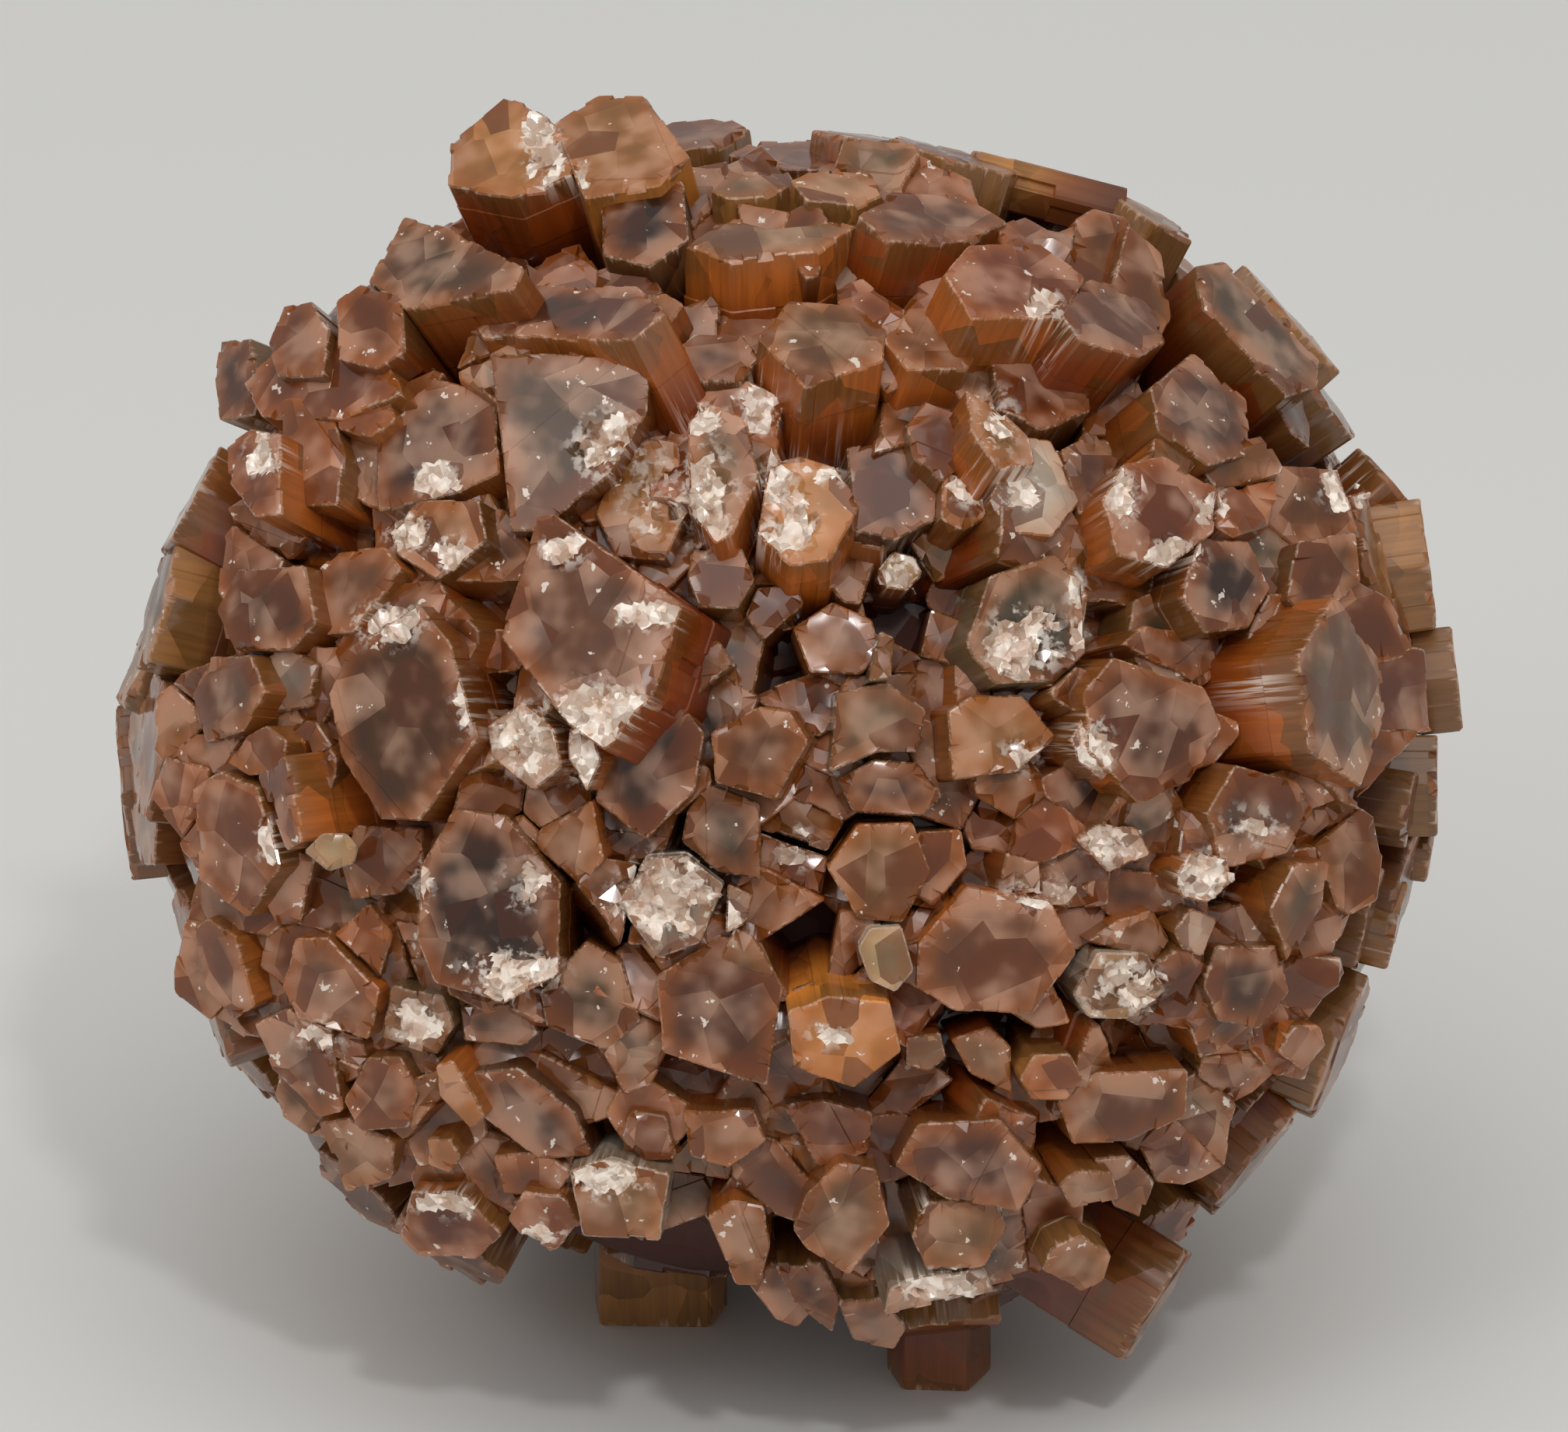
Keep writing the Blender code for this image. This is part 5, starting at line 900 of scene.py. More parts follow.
def close_end(shape, rim_row, grid, top):
    """Fills the end face with a stepped, slightly uneven surface."""
    origin = top.place(0.0, 0.0, 0.0)
    toward_a = top.place(1.0, 0.0, 0.0) - origin
    toward_b = top.place(0.0, 1.0, 0.0) - origin
    outline = [Vector(((vert.co - origin).dot(toward_a), (vert.co - origin).dot(toward_b)))
               for vert in rim_row]
    inner = inner_points(outline, grid, top.seed, top.steps)
    if top.patches:
        inner = [point for point in inner if not in_patch(top.place(*point, 0.0), top.patches)]
        fine = inner_points(outline, PATCH_GRID, top.seed, ())
        inner += [point for point in fine if in_patch(top.place(*point, 0.0), top.patches)]
    count = len(outline)
    edges = [(index, (index + 1) % count) for index in range(count)]
    verts, _, faces, origins, _, _ = delaunay_2d_cdt(outline + inner, edges, [], 1, 1e-5)
    made = []
    for vert, sources, rim in zip(verts, origins, rim_distance(top.flat, verts)):
        on_rim = [source for source in sources if source < count]
        if on_rim:
            made.append(rim_row[on_rim[0]])
        else:
            height = end_relief(vert.x, vert.y, rim, top)
            made.append(shape.verts.new(top.place(vert.x, vert.y, -height)))
    for face in faces:
        corners = [made[index] for index in face]
        if len(set(corners)) == 3:
            middle = (verts[face[0]] + verts[face[1]] + verts[face[2]]) / 3.0
            white = whiteness(top.place(middle.x, middle.y, 0.0), top.patches)
            shape.faces.new(corners).material_index = DRUSE if white > 0.5 else END


def whiteness(spot, patches):
    """How white a place is, with an uneven edge."""
    white = max([patch.white * patch_weight(spot.x, spot.y, patch) for patch in patches] + [0.0])
    return white + (0.5 * noise.noise(spot * 1.3) if white > 0.0 else 0.0)


def in_patch(spot, patches):
    return any(patch_weight(spot.x, spot.y, patch) > 0.15 for patch in patches)


def inner_points(outline, grid, seed, steps):
    """Jittered grid points inside an outline, and pairs of points along its growth steps."""
    low_a = min(point.x for point in outline)
    high_a = max(point.x for point in outline)
    low_b = min(point.y for point in outline)
    high_b = max(point.y for point in outline)
    found = []
    rows = int((high_b - low_b) / (grid * ROW_PITCH))
    columns = int((high_a - low_a) / grid)
    for row in range(rows + 1):
        for column in range(columns + 1):
            salt = seed + 31.0 * row + 7.0 * column
            a = low_a + grid * (column + 0.5 * (row % 2) + 0.5 * wobble(salt, 91))
            b = low_b + grid * ROW_PITCH * (row + 0.5 * wobble(salt, 92))
            if all(abs(a * way.x + b * way.y - place) > STEP_ROOM for way, place, _ in steps):
                found.append((a, b))
    reach = math.hypot(high_a - low_a, high_b - low_b)
    for way, place, _ in steps:
        for count in range(int(-reach / STEP_GRID), int(reach / STEP_GRID)):
            for side in (-SEAM, SEAM):
                found.append((way.x * (place + side) - way.y * count * STEP_GRID,
                              way.y * (place + side) + way.x * count * STEP_GRID))
    if not found:
        return []
    clear = rim_distance(outline, found)
    return [Vector(point) for point, room in zip(found, clear)
            if room > RIM_ROOM and inside(point, outline)]


def inside(point, outline):
    """Whether a point is in a closed outline."""
    hit = False
    last = outline[-1]
    for corner in outline:
        if (corner[1] > point[1]) != (last[1] > point[1]):
            crossing = corner[0] + (last[0] - corner[0]) * (point[1] - corner[1]) / (
                last[1] - corner[1])
            if point[0] < crossing:
                hit = not hit
        last = corner
    return hit


def tone_table(groups):
    """Each crystal's tone, by name."""
    return {name: tone for tone, names in groups.items() for name in names.split()}


def grow_front(collection):
    """The crystals that are placed one by one."""
    end_tones, side_tones = tone_table(END_TONES), tone_table(SIDE_TONES)
    for crystal in FACING + EXTRA:
        corners, axis = facing_corners(crystal)
        tones = (end_tones.get(crystal.name, "mauve"), side_tones.get(crystal.name, "orange"))
        detailed_crystal(crystal.name, corners, axis, crystal.length, tones, collection,
                         detail=5.0)
    for crystal in STANDING:
        corners, axis = standing_corners(crystal)
        tones = (end_tones.get(crystal.name, "tan"), side_tones.get(crystal.name, "orange"))
        detailed_crystal(crystal.name, corners, axis, crystal.length, tones, collection,
                         rough=1.5, detail=9.0)


def plain_tones(index, place):
    """Colours for a crystal without a name, alike in one region."""
    region = 0.5 + 0.9 * noise.noise(place * 0.11)
    ends = int((0.45 * region + 0.55 * wobble(index, 101)) * len(PLAIN_END_TONES))
    sides = int((0.45 * region + 0.55 * wobble(index, 102)) * len(PLAIN_SIDE_TONES))
    return (PLAIN_END_TONES[min(max(ends, 0), len(PLAIN_END_TONES) - 1)],
            PLAIN_SIDE_TONES[min(max(sides, 0), len(PLAIN_SIDE_TONES) - 1)])


def cell_sites():
    """Uneven places over the front, one for each crystal between the large ones."""
    sites = []
    reach = round(HALF_WIDTH / CELL_SPACING) + 2
    for row in range(-reach, reach + 1):
        for column in range(-reach, reach + 1):
            index = 1000 + 100 * (row + reach) + column + reach
            jitter = [CELL_JITTER * (wobble(index, salt) - 0.5) for salt in (111, 112)]
            across = CELL_SPACING * (column + 0.5 * (row % 2) + jitter[0])
            up = CELL_SPACING * ROW_PITCH * (row + jitter[1])
            if rim_share(across, up) < 1.1 and wobble(index, 110) > CELL_SKIP:
                sites.append((index, across, up))
    return sites


def cell_outline(across, up, sites):
    """The room of one site: what is nearer to it than to the other sites."""
    reach = 2.0 * CELL_SPACING
    outline = [(across - reach, up - reach), (across + reach, up - reach),
               (across + reach, up + reach), (across - reach, up + reach)]
    for _, other_across, other_up in sites:
        way = (other_across - across, other_up - up)
        distance = math.hypot(*way)
        if 0.0 < distance < 2.0 * reach:
            outline = cut_beyond(outline, (across + way[0] / 2.0, up + way[1] / 2.0), way)
    kept = []
    for corner in outline:
        if not kept or math.dist(corner, kept[-1]) > LEAST_EDGE:
            kept.append(corner)
    if math.dist(kept[0], kept[-1]) < LEAST_EDGE:
        kept.pop()
    return [(across + CELL_OVERLAP * (corner[0] - across), up + CELL_OVERLAP * (corner[1] - up))
            for corner in kept]


def cut_beyond(outline, spot, way):
    """The part of a convex outline that lies behind a line across the given way."""
    kept = []
    for start, end in zip(outline, outline[1:] + outline[:1]):
        first = (start[0] - spot[0]) * way[0] + (start[1] - spot[1]) * way[1]
        second = (end[0] - spot[0]) * way[0] + (end[1] - spot[1]) * way[1]
        if first <= 0.0:
            kept.append(start)
        if first * second < 0.0:
            share = first / (first - second)
            kept.append((start[0] + share * (end[0] - start[0]),
                         start[1] + share * (end[1] - start[1])))
    return kept


def grow_cells(collection):
    """Crystals that fill the front between the large ones, grown close together."""
    planes = front_planes()
    sites = cell_sites()
    for index, across, up in sites:
        open_place = any(in_box(across, up, box) for box in OPEN_SIDES + (HOLLOW,))
        if rim_share(across, up) > CELL_EDGE or open_place:
            continue
        outline = cell_outline(across, up, sites)
        hidden = any(all(inside(corner, plane[0]) for corner in outline) for plane in planes)
        if len(outline) > 2 and not hidden:
            cell_crystal(index, across, up, outline, planes, collection)


def cell_crystal(index, across, up, outline, planes, collection):
    """One of them, on its own site."""
    toward = math.degrees(math.atan2(up, across)) + between((-CELL_TILT, CELL_TILT), index, 113)
    lean = 0.9 * front_lean(across, up) + between((-CELL_TILT, CELL_TILT), index, 114)
    axis = pointing(toward, min(lean, CELL_LEAN))
    back = level_around(across, up, planes) + between(CELL_SINK, index, 116)
    if wobble(index, 117) < CELL_DEEP:
        back += between(CELL_DEPTH, index, 118)
    spot = (across, up, back)
    corners = [Vector((*corner, back_at(*corner, spot, axis))) for corner in outline]
    rough = 1.0 if wobble(index, 119) < CELL_WHOLE else 2.0
    tones = plain_tones(index, Vector((across, up, 0.0)))
    detailed_crystal("small_crystal_%04d" % index, corners, axis, CELL_LENGTH, tones, collection,
                     rough=rough, detail=1.6, grid=0.75, strip=1.2)


def in_box(across, up, box):
    """Whether a place is in a box of the front, given as its lowest and highest corners."""
    return box[0] < across < box[2] and box[1] < up < box[3]


def level_around(across, up, planes):
    """How far back the end faces next to a place are, the furthest of them."""
    levels = []
    for face, corners, axis in planes:
        if inside((across, up), face) or rim_distance(face, (across, up))[0] < CELL_REACH:
            levels.append(back_at(across, up, corners[0], axis))
    usual = front_back(across, up)
    return max(levels + [usual - CELL_PROUD]) if levels else usual - CELL_USUAL


def grow_rim(collection):
    """Crystals round the rim that show their ribbed sides."""
    for number in range(RIM_COUNT):
        index = 3000 + number
        toward = 360.0 * (number + 0.6 * wobble(index, 141)) / RIM_COUNT
        share = between(RIM_SHARE, index, 142)
        size = between(RIM_SIZE, index, 143)
        end = (share * HALF_WIDTH * math.cos(math.radians(toward)),
               share * HALF_HEIGHT * math.sin(math.radians(toward)), between(RIM_BACK, index, 144))
        crystal = standing("rim_crystal_%02d" % number, end, toward + between(RIM_SWAY, index, 145),
                           between(RIM_LEANS, index, 146), size,
                           size * between(RIM_FLATNESS, index, 147),
                           turn=60.0 * wobble(index, 148))
        corners, axis = standing_corners(crystal)
        clear = min(to_world(*corner).z for corner in corners) > LOWEST_END * MM
        if clear and not in_box(end[0], end[1], HOLLOW):
            tones = (plain_tones(index, Vector(end))[0], ("tan", "orange", "rust")[number % 3])
            detailed_crystal(crystal.name, corners, axis, crystal.length, tones, collection,
                             rough=1.4, detail=7.0, grid=0.8)


def grow_back(collection):
    """Rings of crystals from the rim to the middle of the back, hidden from the front."""
    index = 0
    for row in range(BACK_ROWS):
        lean = BACK_START + (180.0 - BACK_START) * row / (BACK_ROWS - 1)
        ring = math.sin(math.radians(lean)) * math.tau * (BACK_HALF_WIDTH + HALF_DEPTH) / 2.0
        count = max(1, round(ring / BACK_SPACING))
        for step in range(count):
            index += 1
            toward = 360.0 * (step + 0.5 * (row % 2) + 0.3 * wobble(index, 1)) / count
            back_crystal(index, toward, lean + 7.0 * (wobble(index, 2) - 0.5), collection)


def back_crystal(index, toward, lean, collection):
    """One of them, shortened where it would touch the surface underneath."""
    out = pointing(toward, lean)
    reach = 1.0 / math.hypot(
        out.x / BACK_HALF_WIDTH, out.y / BACK_HALF_HEIGHT, out.z / HALF_DEPTH)
    fullness = min(max((lean - FULL_FROM) / (FULL_TO - FULL_FROM), 0.0), 1.0)
    reach *= between(BACK_REACH, index, 3) + BACK_FULLNESS * fullness
    size = between(BACK_SIZE, index, 4)
    upright = (to_world(*out) - to_world(0.0, 0.0, 0.0)).z / MM
    drop = 0.7 * size * math.sqrt(max(0.0, 1.0 - upright ** 2)) * MM
    while to_world(*(out * reach)).z - drop < LOWEST_END * MM:
        reach -= STEP_IN
    sway = (-SWAY, SWAY)
    crystal = standing(
        "back_crystal_%03d" % index, out * reach, toward + between(sway, index, 5),
        lean + between(sway, index, 6), size, size * between(BACK_FLATNESS, index, 7),
        turn=60.0 * wobble(index, 8), length=BACK_LENGTH * reach)
    corners, axis = standing_corners(crystal)
    tones = plain_tones(index, crystal.end)
    detailed_crystal(crystal.name, corners, axis, crystal.length, tones, collection,
                     detail=2.6, grid=COARSE_GRID, strip=2.0)


def grow_feet(collection):
    """Upright crystals with flat ends on the surface."""
    side_tones = tone_table(SIDE_TONES)
    origin = Vector(to_view(np.array([[0.0, 0.0, 0.0]]))[0])
    down = Vector(to_view(np.array([[0.0, 0.0, -MM]]))[0]) - origin
    for foot in FEET:
        corners = []
        for across, behind in foot.outline:
            spot = np.array([[CENTRE[0] + across, CENTRE[1] + behind, 0.0]]) * MM
            corners.append(Vector(to_view(spot)[0]))
        tones = ("mauve", side_tones.get(foot.name, "rust"))
        detailed_crystal(foot.name, corners, down.normalized(), foot.length, tones, collection,
                         rough=0.0, detail=7.0)


def grow_druse(collection):
    """Tiny crystals on the white and broken places."""
    planes = front_planes()
    index = 5000
    for patch in PATCHES:
        columns = math.ceil(patch.half_width / DRUSE_SPACING)
        rows = math.ceil(patch.half_height / DRUSE_SPACING)
        for row in range(-rows, rows + 1):
            for column in range(-columns, columns + 1):
                index += 1
                across = patch.across + DRUSE_SPACING * (column + wobble(index, 121) - 0.5)
                up = patch.up + DRUSE_SPACING * (row + wobble(index, 122) - 0.5)
                weight = patch_weight(across, up, patch)
                if weight > 0.5 and wobble(index, 123) < patch.white * patch.dip:
                    tiny_crystal(index, across, up, planes, collection)


def surface_at(across, up, planes):
    """How far back the front's surface is at a place, and the way that it faces."""
    best = None
    for face, corners, axis in planes:
        if inside((across, up), face):
            back = back_at(across, up, corners[0], axis)
            if best is None or back < best[0]:
                best = (back, axis)
    if best is None:
        toward = math.degrees(math.atan2(up, across))
        best = (front_back(across, up) + DRUSE_SINK,
                pointing(toward, min(front_lean(across, up), DRUSE_LEAN)))
    return best


def tiny_crystal(index, across, up, planes, collection):
    """A broken fragment or a small crystal: the hull of a few points around a place."""
    back, axis = surface_at(across, up, planes)
    size = between(DRUSE_SIZE, index, 131)
    long_way = (scatter(index, 132, 133, 134).normalized() + axis * 0.6).normalized()
    stretch = between(DRUSE_STRETCH, index, 135)
    middle = Vector((across, up, back)) + axis * 0.12 * size
    shape = bmesh.new()
    for point in range(DRUSE_POINTS):
        spot = scatter(index, 140 + point, 160 + point, 180 + point).normalized() * 0.5 * size
        spot += long_way * spot.dot(long_way) * (stretch - 1.0)
        shape.verts.new(middle + spot)
    hull = bmesh.ops.convex_hull(shape, input=shape.verts)
    bmesh.ops.delete(shape, geom=[item for item in hull["geom_interior"] + hull["geom_unused"]
                                  if isinstance(item, bmesh.types.BMVert)], context="VERTS")
    for face in shape.faces:
        face.material_index = DRUSE
    sideways = axis.orthogonal().normalized()
    number = len(grown)
    grown.append(Grown(middle, sideways, axis.cross(sideways), axis, [], "pale", "pale"))
    finish_shape(shape, "druse_%05d" % index, number, collection)


def grow_core():
    """The massive inside that the crystals grow from."""
    shape = bmesh.new()
    bmesh.ops.create_icosphere(shape, subdivisions=4, radius=1.0)
    half = Vector((HALF_WIDTH, HALF_HEIGHT, HALF_DEPTH)) * CORE_HEIGHT
    for vert in shape.verts:
        swell = 1.0 + 0.03 * noise.noise(vert.co * 9.0)
        vert.co = Vector((vert.co.x * half.x, vert.co.y * half.y, vert.co.z * half.z)) * swell
    for face in shape.faces:
        face.material_index = SIDE
    return finish_shape(shape, "aragonite_crystals", -1, bpy.context.scene.collection)
SHARP_FROM = 16.0          # degrees between faces that show an edge
# the core's faces count as this deep down a side, so that the painted shade of the deep sides
# darkens them fully
FAR_FROM_RIM = 12.0        # given to the faces of the core
PALE_TO = 2.0              # how far back the broken places are whitened
PATCH_HALO = 1.4           # reach of that whitening, as a share of the patch's half sizes

# Layers of a colour, each with its tone, or None for a shade; the value that it follows; the
# limits of that value; and the share of the tone, or the shade, at the first and the second.
END_LAYERS = (
    (None, "clouds", 0.25, 0.75, 0.38, 0.76),
    # orange towards the rim: partly the crystal's own orange, partly painted glow of light through
    # the thin edge
    ("orange", "rim", -0.9, 0.9, 0.55, 0.0),
    (None, "flakes", 0.1, 0.9, 0.78, 1.12),
    ("ember", "flakes", 0.05, 0.4, 0.6, 0.0),
    ("haze", "haze", 0.54, 0.8, 0.0, 0.42),
    # painted glints: sparse pale specks on an end face
    ("pale", "painted_glints", 0.745, 0.765, 0.0, 0.8),
    ("pale", "border", -0.1, 0.06, 0.55, 0.0),
)
SIDE_LAYERS = (
    ("clay", "depth", 1.0, 4.2, 0.7, 0.0),
    (None, "striae", 0.28, 0.72, 0.55, 0.8),
    (None, "flakes", 0.1, 0.9, 0.78, 1.15),
    ("haze", "streaks", 1.2, 1.7, 0.6, 0.0),
    # painted shade further down a prism side, where the crystals crowd together; partly the sides'
    # own deeper red
    ("deep_red", "depth", 3.5, 7.0, 0.0, 0.7),
    ("dark_red", "depth", 6.0, 10.0, 0.0, 0.7),
)
DRUSE_LAYERS = (
    ("haze", "clouds", 0.45, 0.65, 0.0, 0.6),
    ("clay", "flakes", 0.25, 0.8, 0.6, 0.0),
)

# Other values that follow one: its limits, and what it gives at the first and the second.
PALE_SPECKS = (0.5, 0.6, 0.0, 1.4)
# painted shade deep in the gaps: dark red by depth below the ball's outer surface
GAP_PAINTED_SHADE = (2.0, 6.0, 0.0, 0.9)
END_ROUGHNESS = (0.1, 0.9, 0.1, 0.3)
SIDE_ROUGHNESS = (0.1, 0.9, 0.12, 0.35)
SIDE_DULL = (4.0, 12.0, 0.0, 0.5)       # added further down the side
ROOM_STRENGTH = (0.0, 0.9, 0.44, 0.52)  # from the horizon up

FLAKE = 2.4                # size of a flake in the crystal, in millimetres
DRUSE_FLAKE = 0.55         # the same in the white places
STRIAE_SCALE = (2.6, 2.6, 0.12)  # fine across the crystal, long along it
END_CLEAR = 0.13           # share of the light that goes into an end face
REFRACTION = 1.6
INSIDE_COLOUR = (0.88, 0.62, 0.30, 1.0)
INSIDE_DENSITY = 1200.0    # for each metre
FLOOR_COLOUR = (0.73, 0.73, 0.71, 1.0)
ROOM_COLOUR = (1.0, 0.99, 0.97, 1.0)

# Name, place and size in metres, and watts. All of them shine at the same spot.
LIGHTS = (
    ("overhead", (-0.08, -0.32, 0.86), 1.0, 3.0),
    ("front_left", (-0.42, -0.5, 0.5), 0.20, 0.45),
    ("lamp", (0.10, -0.50, 0.60), 0.05, 1.0),
)
LIT_SPOT = (0.0, 0.0, 0.03)

LENS = 400.0               # in millimetres, as is the sensor
SENSOR = 36.0
LOOKED_AT = (-0.08, 1.38, 0.0)  # across, up and back
CAMERA_DISTANCE = 0.896    # from there, in metres


def join_all(core, growth):
    """One closed body from the core and every crystal."""
    for slot in ("end_faces", "prism_sides", "drusy_white"):
        core.data.materials.append(bpy.data.materials.new(slot))
        for crystal in growth.objects:
            crystal.data.materials.append(bpy.data.materials[slot])
    union = core.modifiers.new("grown together", "BOOLEAN")
    union.operation = "UNION"
    union.operand_type = "COLLECTION"
    union.collection = growth
    union.solver = "MANIFOLD"
    bpy.context.view_layer.update()
    evaluated = core.evaluated_get(bpy.context.evaluated_depsgraph_get())
    joined = bpy.data.meshes.new_from_object(evaluated)
    core.modifiers.clear()
    core.data = joined
    joined.name = core.name
    joined.shade_smooth()
    joined.set_sharp_from_angle(angle=math.radians(SHARP_FROM))
    slots = read_array(joined.polygons, "material_index", 1, np.int32)
    smooth = read_array(joined.polygons, "use_smooth", 1, bool) & (slots != DRUSE)
    joined.polygons.foreach_set("use_smooth", smooth)
    for crystal in list(growth.objects):
        bpy.data.objects.remove(crystal, do_unlink=True)
    bpy.data.collections.remove(growth)


def read_array(items, name, width, kind):
    """A property of many items as an array, with a row for each item where it has parts."""
    values = np.zeros(len(items) * width, kind)
    items.foreach_get(name, values)
    return values.reshape(-1, width) if width > 1 else values


def store(mesh, name, kind, domain, field, values):
    """Keeps an array as an attribute of the mesh."""
    layer = mesh.attributes.new(name, kind, domain)
    layer.data.foreach_set(field, np.asarray(values, np.float32).ravel())


def depth_in_gap(points):
    """How far points lie inside the ball's outer surface, in millimetres."""
    half_height = np.where(points[:, 2] > 0.0, BACK_HALF_HEIGHT, HALF_HEIGHT)
    half_width = np.where(points[:, 2] > 0.0, BACK_HALF_WIDTH, HALF_WIDTH)
    share = np.hypot(points[:, 0] / half_width, points[:, 1] / half_height) ** ROUNDNESS
    share += np.abs(points[:, 2] / HALF_DEPTH) ** ROUNDNESS
    level = share ** (1.0 / ROUNDNESS)
    size = np.linalg.norm(points, axis=1)
    return np.maximum(0.0, size / np.maximum(level, 1e-6) - size)


def paleness(points):
    """0 to 0.5 in the white patches of the front."""
    pale = np.zeros(len(points))
    front = points[:, 2] < PALE_TO
    for patch in PATCHES:
        reach = np.hypot((points[:, 0] - patch.across) / patch.half_width,
                         (points[:, 1] - patch.up) / patch.half_height)
        weight = np.clip(PATCH_HALO - reach, 0.0, 0.5) * patch.white * front
        pale = np.maximum(pale, weight)
    return pale


def linear(tone):
    """A screen colour as the renderer's linear one."""
    return [((value / 255.0 + 0.055) / 1.055) ** 2.4 for value in TONES[tone]]


def own_places(spots, owner, slots):
    """Each corner's place in its crystal, and how far it is from the rim of the end face."""
    grain = spots.copy()
    rim = np.full(len(spots), FAR_FROM_RIM)
    order = np.argsort(owner, kind="stable")
    bounds = np.searchsorted(owner[order], np.arange(len(grown) + 1))
    for number, crystal in enumerate(grown):
        mine = order[bounds[number]:bounds[number + 1]]
        if not len(mine):
            continue
        offset = spots[mine] - np.array(crystal.middle)
        a = offset @ np.array(crystal.along_a)
        b = offset @ np.array(crystal.along_b)
        depth = -(offset @ np.array(crystal.axis))
        grain[mine] = np.stack((a + 13.7 * number, b - 5.3 * number, depth), axis=1)
        ends = slots[mine] == END
        distance = np.maximum(depth, 0.0)
        if ends.any():
            distance[ends] = rim_distance(crystal.flat, np.stack((a[ends], b[ends]), axis=1))
        rim[mine] = distance
    return grain, rim


def face_tones(owner, slots):
    """Each face's own colour, from its crystal's tones and lightness."""
    tones = np.ones((len(owner), 4))
    # faces of no crystal, the core that shows deep in the gaps, keep dark red: painted shade
    tones[:, :3] = linear("dark_red")
    for slot, attribute in ((END, "end_tone"), (SIDE, "side_tone"), (DRUSE, "end_tone")):
        for tone in TONES:
            having = np.array([getattr(crystal, attribute) == tone for crystal in grown] + [False])
            chosen = (slots == slot) & having[owner]
            tones[chosen, :3] = linear(tone)
    shades = np.array([between(SHADE, number, 171) for number in range(len(grown))] + [1.0])
    tones[:, :3] *= shades[owner][:, None] * np.array(WARMTH)
    return tones


def mark_surface(mesh):
    """Stores what the materials read: own places, rim distance, depth in gaps, which the painted
    shade of the gaps follows, and tones.
    """
    points = read_array(mesh.vertices, "co", 3, np.float64)
    spots = points[read_array(mesh.loops, "vertex_index", 1, np.int32)]
    totals = read_array(mesh.polygons, "loop_total", 1, np.int32)
    slots = read_array(mesh.polygons, "material_index", 1, np.int32)
    owner = read_array(mesh.attributes["crystal"].data, "value", 1, np.int32)
    grain, rim = own_places(spots, np.repeat(owner, totals), np.repeat(slots, totals))
    store(mesh, "grain", "FLOAT_VECTOR", "CORNER", "vector", grain)
    store(mesh, "rim", "FLOAT", "CORNER", "value", rim)
    store(mesh, "gap", "FLOAT", "CORNER", "value", depth_in_gap(spots))
    store(mesh, "pale", "FLOAT", "CORNER", "value", paleness(spots))
    store(mesh, "tone", "FLOAT_COLOR", "FACE", "color", face_tones(owner, slots))
    mesh.attributes.remove(mesh.attributes["crystal"])


def move_to_world(mesh):
    """Turns the mesh from viewing millimetres, which are left-handed, to metres."""
    points = read_array(mesh.vertices, "co", 3, np.float64)
    origin = np.array(to_world(0.0, 0.0, 0.0))
    steps = [np.array(to_world(*unit)) - origin for unit in ((1, 0, 0), (0, 1, 0), (0, 0, 1))]
    moved = origin + points @ np.array(steps)
    mesh.vertices.foreach_set("co", moved.astype(np.float32).ravel())
    mesh.flip_normals()
    mesh.update()


def add(tree, kind, settings=None, inputs=None):
    """A node with its settings, and its inputs given as values or as sockets to link."""
    node = tree.nodes.new(kind)
    for name, value in (settings or {}).items():
        setattr(node, name, value)
    for name, value in (inputs or {}).items():
        plug(tree, node.inputs[name], value)
    return node


def plug(tree, socket, value):
    """Links a socket, or sets its value."""
    if isinstance(value, bpy.types.NodeSocket):
        tree.links.new(value, socket)
    else:
        socket.default_value = value


def attribute(tree, name, output="Fac"):
    return add(tree, "ShaderNodeAttribute", {"attribute_name": name}).outputs[output]


def noise_value(tree, vector, scale, detail, roughness):
    return add(tree, "ShaderNodeTexNoise", None, {
        "Vector": vector, "Scale": scale, "Detail": detail, "Roughness": roughness,
    }).outputs["Fac"]


def flake_value(tree, vector, size):
    """A random value for each flake, with sharp edges between them; size in millimetres."""
    flakes = add(tree, "ShaderNodeTexVoronoi", None, {"Vector": vector, "Scale": 1.0 / size})
    return add(tree, "ShaderNodeSeparateXYZ", None, {0: flakes.outputs["Color"]}).outputs[0]


def remap(tree, value, low, high, to_low, to_high):
    """A value that goes smoothly from one number to another as the first goes up."""
    return add(tree, "ShaderNodeMapRange", {"interpolation_type": "SMOOTHSTEP"}, {
        "Value": value, "From Min": low, "From Max": high, "To Min": to_low, "To Max": to_high,
    }).outputs["Result"]


def calc(tree, operation, first, second):
    return add(tree, "ShaderNodeMath", {"operation": operation}, {0: first, 1: second}).outputs[0]


def plus(tree, first, second, share=1.0):
    """The first value and a share of the second."""
    if share != 1.0:
        second = calc(tree, "MULTIPLY", second, share)
    return calc(tree, "ADD", first, second)


def mix(tree, factor, first, second, blend="MIX"):
    node = add(tree, "ShaderNodeMix", {"data_type": "RGBA", "blend_type": blend},
               {0: factor, 6: first, 7: second})
    return node.outputs[2]


def rgba(tone):
    return (*linear(tone), 1.0)


def layered(tree, colour, layers, values):
    """A colour with layers over it, each of a tone or, where it has none, of a shade."""
    for tone, source, *limits in layers:
        share = remap(tree, values[source], *limits)
        if tone:
            colour = mix(tree, share, colour, rgba(tone))
        else:
            grey = add(tree, "ShaderNodeCombineColor", None,
                       {"Red": share, "Green": share, "Blue": share}).outputs[0]
            colour = mix(tree, 1.0, colour, grey, "MULTIPLY")
    return colour


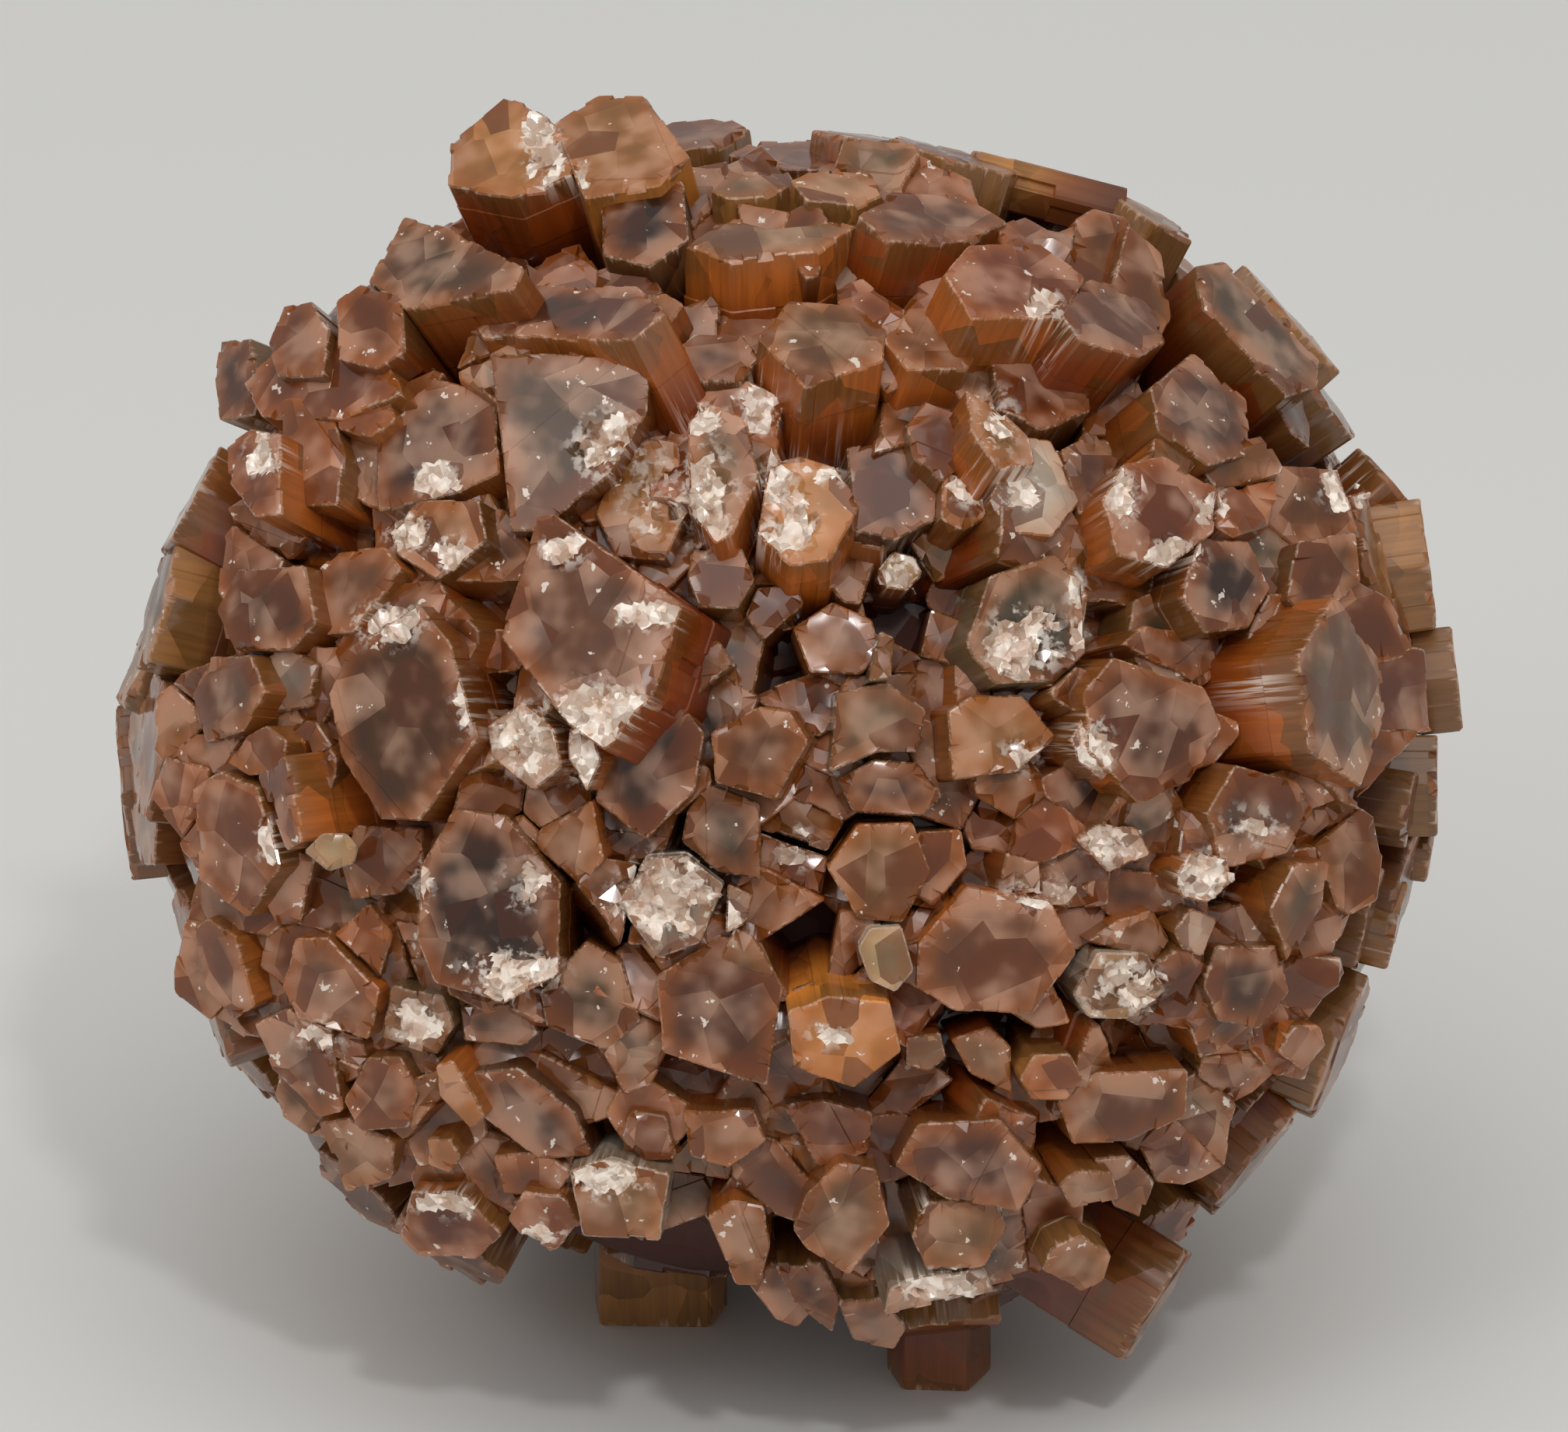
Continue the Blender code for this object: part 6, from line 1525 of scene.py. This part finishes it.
def finish_colour(tree, colour, fine, coarse):
    """Whitens the broken places and paints shade, in dark red, over what lies deep in the gaps."""
    pale = calc(tree, "MULTIPLY", attribute(tree, "pale"), remap(tree, fine, *PALE_SPECKS))
    colour = mix(tree, pale, colour, rgba("pale"))
    # painted shade: more dark red the deeper the place lies in a gap
    gap = plus(tree, attribute(tree, "gap"), coarse, 2.0)
    return mix(tree, remap(tree, gap, *GAP_PAINTED_SHADE), colour, rgba("dark_red"))


def crystal_shader(name, clear):
    """The shared glassy shader, with the orange that light takes on inside."""
    material = bpy.data.materials[name]
    material.use_nodes = True
    tree = material.node_tree
    shader = tree.nodes["Principled BSDF"]
    shader.inputs["IOR"].default_value = REFRACTION
    shader.inputs["Specular IOR Level"].default_value = 0.5
    shader.inputs["Transmission Weight"].default_value = clear
    if clear:
        inside_colour = add(tree, "ShaderNodeVolumeAbsorption", None,
                            {"Color": INSIDE_COLOUR, "Density": INSIDE_DENSITY})
        tree.links.new(inside_colour.outputs[0], tree.nodes["Material Output"].inputs["Volume"])
    return tree, shader


def end_face_material():
    tree, shader = crystal_shader("end_faces", END_CLEAR)
    grain = attribute(tree, "grain", "Vector")
    rim = attribute(tree, "rim")
    clouds = noise_value(tree, grain, scale=0.35, detail=2.0, roughness=0.5)
    fine = noise_value(tree, grain, scale=1.1, detail=3.0, roughness=0.6)
    flakes = flake_value(tree, grain, FLAKE)
    border = plus(tree, plus(tree, rim, fine, 0.9), clouds, -0.8)
    colour = layered(tree, attribute(tree, "tone", "Color"), END_LAYERS, {
        "clouds": clouds, "flakes": flakes, "border": border,
        # orange towards the rim, partly painted glow of light through the thin edge
        "rim": plus(tree, rim, clouds, -1.5),
        "haze": plus(tree, clouds, flakes, 0.2),
        # painted glints: fine noise and flakes, kept only in a narrow band
        "painted_glints": plus(tree, fine, flakes, 0.12),
    })
    plug(tree, shader.inputs["Base Color"], finish_colour(tree, colour, fine, clouds))
    plug(tree, shader.inputs["Roughness"], remap(tree, flakes, *END_ROUGHNESS))


def side_material():
    tree, shader = crystal_shader("prism_sides", 0.0)
    grain = attribute(tree, "grain", "Vector")
    depth = attribute(tree, "rim")
    along = add(tree, "ShaderNodeVectorMath", {"operation": "MULTIPLY"},
                {0: grain, 1: STRIAE_SCALE}).outputs[0]
    striae = noise_value(tree, along, scale=1.0, detail=3.0, roughness=0.65)
    flakes = flake_value(tree, grain, FLAKE)
    colour = layered(tree, attribute(tree, "tone", "Color"), SIDE_LAYERS, {
        "striae": striae, "flakes": flakes,
        "depth": plus(tree, depth, flakes, 2.6),
        "streaks": plus(tree, depth, striae, 3.0),
    })
    plug(tree, shader.inputs["Base Color"], finish_colour(tree, colour, striae, flakes))
    dull = remap(tree, depth, *SIDE_DULL)
    plug(tree, shader.inputs["Roughness"],
         plus(tree, remap(tree, flakes, *SIDE_ROUGHNESS), dull))


def druse_material():
    tree, shader = crystal_shader("drusy_white", 0.0)
    grain = attribute(tree, "grain", "Vector")
    colour = layered(tree, rgba("pale"), DRUSE_LAYERS, {
        "clouds": noise_value(tree, grain, scale=0.8, detail=2.0, roughness=0.55),
        "flakes": flake_value(tree, grain, DRUSE_FLAKE),
    })
    plug(tree, shader.inputs["Base Color"], colour)
    shader.inputs["Roughness"].default_value = 0.1
    shader.inputs["Specular IOR Level"].default_value = 1.0


def make_floor():
    """A plain pale surface that runs far behind the specimen."""
    bpy.ops.mesh.primitive_plane_add(size=6.0, location=(0.0, 0.0, 0.0))
    floor = bpy.context.object
    floor.name = "floor"
    material = bpy.data.materials.new("pale_floor")
    material.use_nodes = True
    shader = material.node_tree.nodes["Principled BSDF"]
    shader.inputs["Base Color"].default_value = FLOOR_COLOUR
    shader.inputs["Roughness"].default_value = 0.6
    floor.data.materials.append(material)


def make_lights():
    """Soft light from all round, a large lamp overhead and two small ones in front."""
    world = bpy.data.worlds.new("soft_room")
    world.use_nodes = True
    tree = world.node_tree
    room = tree.nodes["Background"]
    way = add(tree, "ShaderNodeSeparateXYZ", None,
              {0: add(tree, "ShaderNodeTexCoord").outputs["Generated"]})
    plug(tree, room.inputs["Strength"], remap(tree, way.outputs["Z"], *ROOM_STRENGTH))
    room.inputs["Color"].default_value = ROOM_COLOUR
    bpy.context.scene.world = world
    for name, at, size, watts in LIGHTS:
        light = bpy.data.lights.new(name, "AREA")
        light.shape = "SQUARE"
        light.size = size
        light.energy = watts
        lamp = bpy.data.objects.new(name, light)
        bpy.context.scene.collection.objects.link(lamp)
        lamp.location = at
        lamp.rotation_euler = (Vector(LIT_SPOT) - Vector(at)).to_track_quat("-Z", "Y").to_euler()
    bpy.context.scene.view_settings.view_transform = "Standard"


def make_camera():
    """Looks at the side that shows best, from as high as the photograph does."""
    camera_data = bpy.data.cameras.new("camera")
    camera_data.lens = LENS
    camera_data.sensor_width = SENSOR
    camera_data.clip_start = 0.01
    camera = bpy.data.objects.new("camera", camera_data)
    bpy.context.scene.collection.objects.link(camera)
    tilt = math.radians(FACE_ELEVATION)
    away = Vector((0.0, -math.cos(tilt), math.sin(tilt)))
    camera.location = to_world(*LOOKED_AT) + away * CAMERA_DISTANCE
    camera.rotation_euler = (math.radians(90.0 - FACE_ELEVATION), 0.0, 0.0)
    bpy.context.scene.camera = camera


def main():
    make_camera()
    growth = bpy.data.collections.new("growth")
    bpy.context.scene.collection.children.link(growth)
    for grow in (grow_front, grow_cells, grow_rim, grow_back, grow_feet, grow_druse):
        grow(growth)
    crystals = grow_core()
    join_all(crystals, growth)
    mark_surface(crystals.data)
    move_to_world(crystals.data)
    end_face_material()
    side_material()
    druse_material()
    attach(crystals, "root")
    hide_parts(NODE)
    make_floor()
    make_lights()


main()
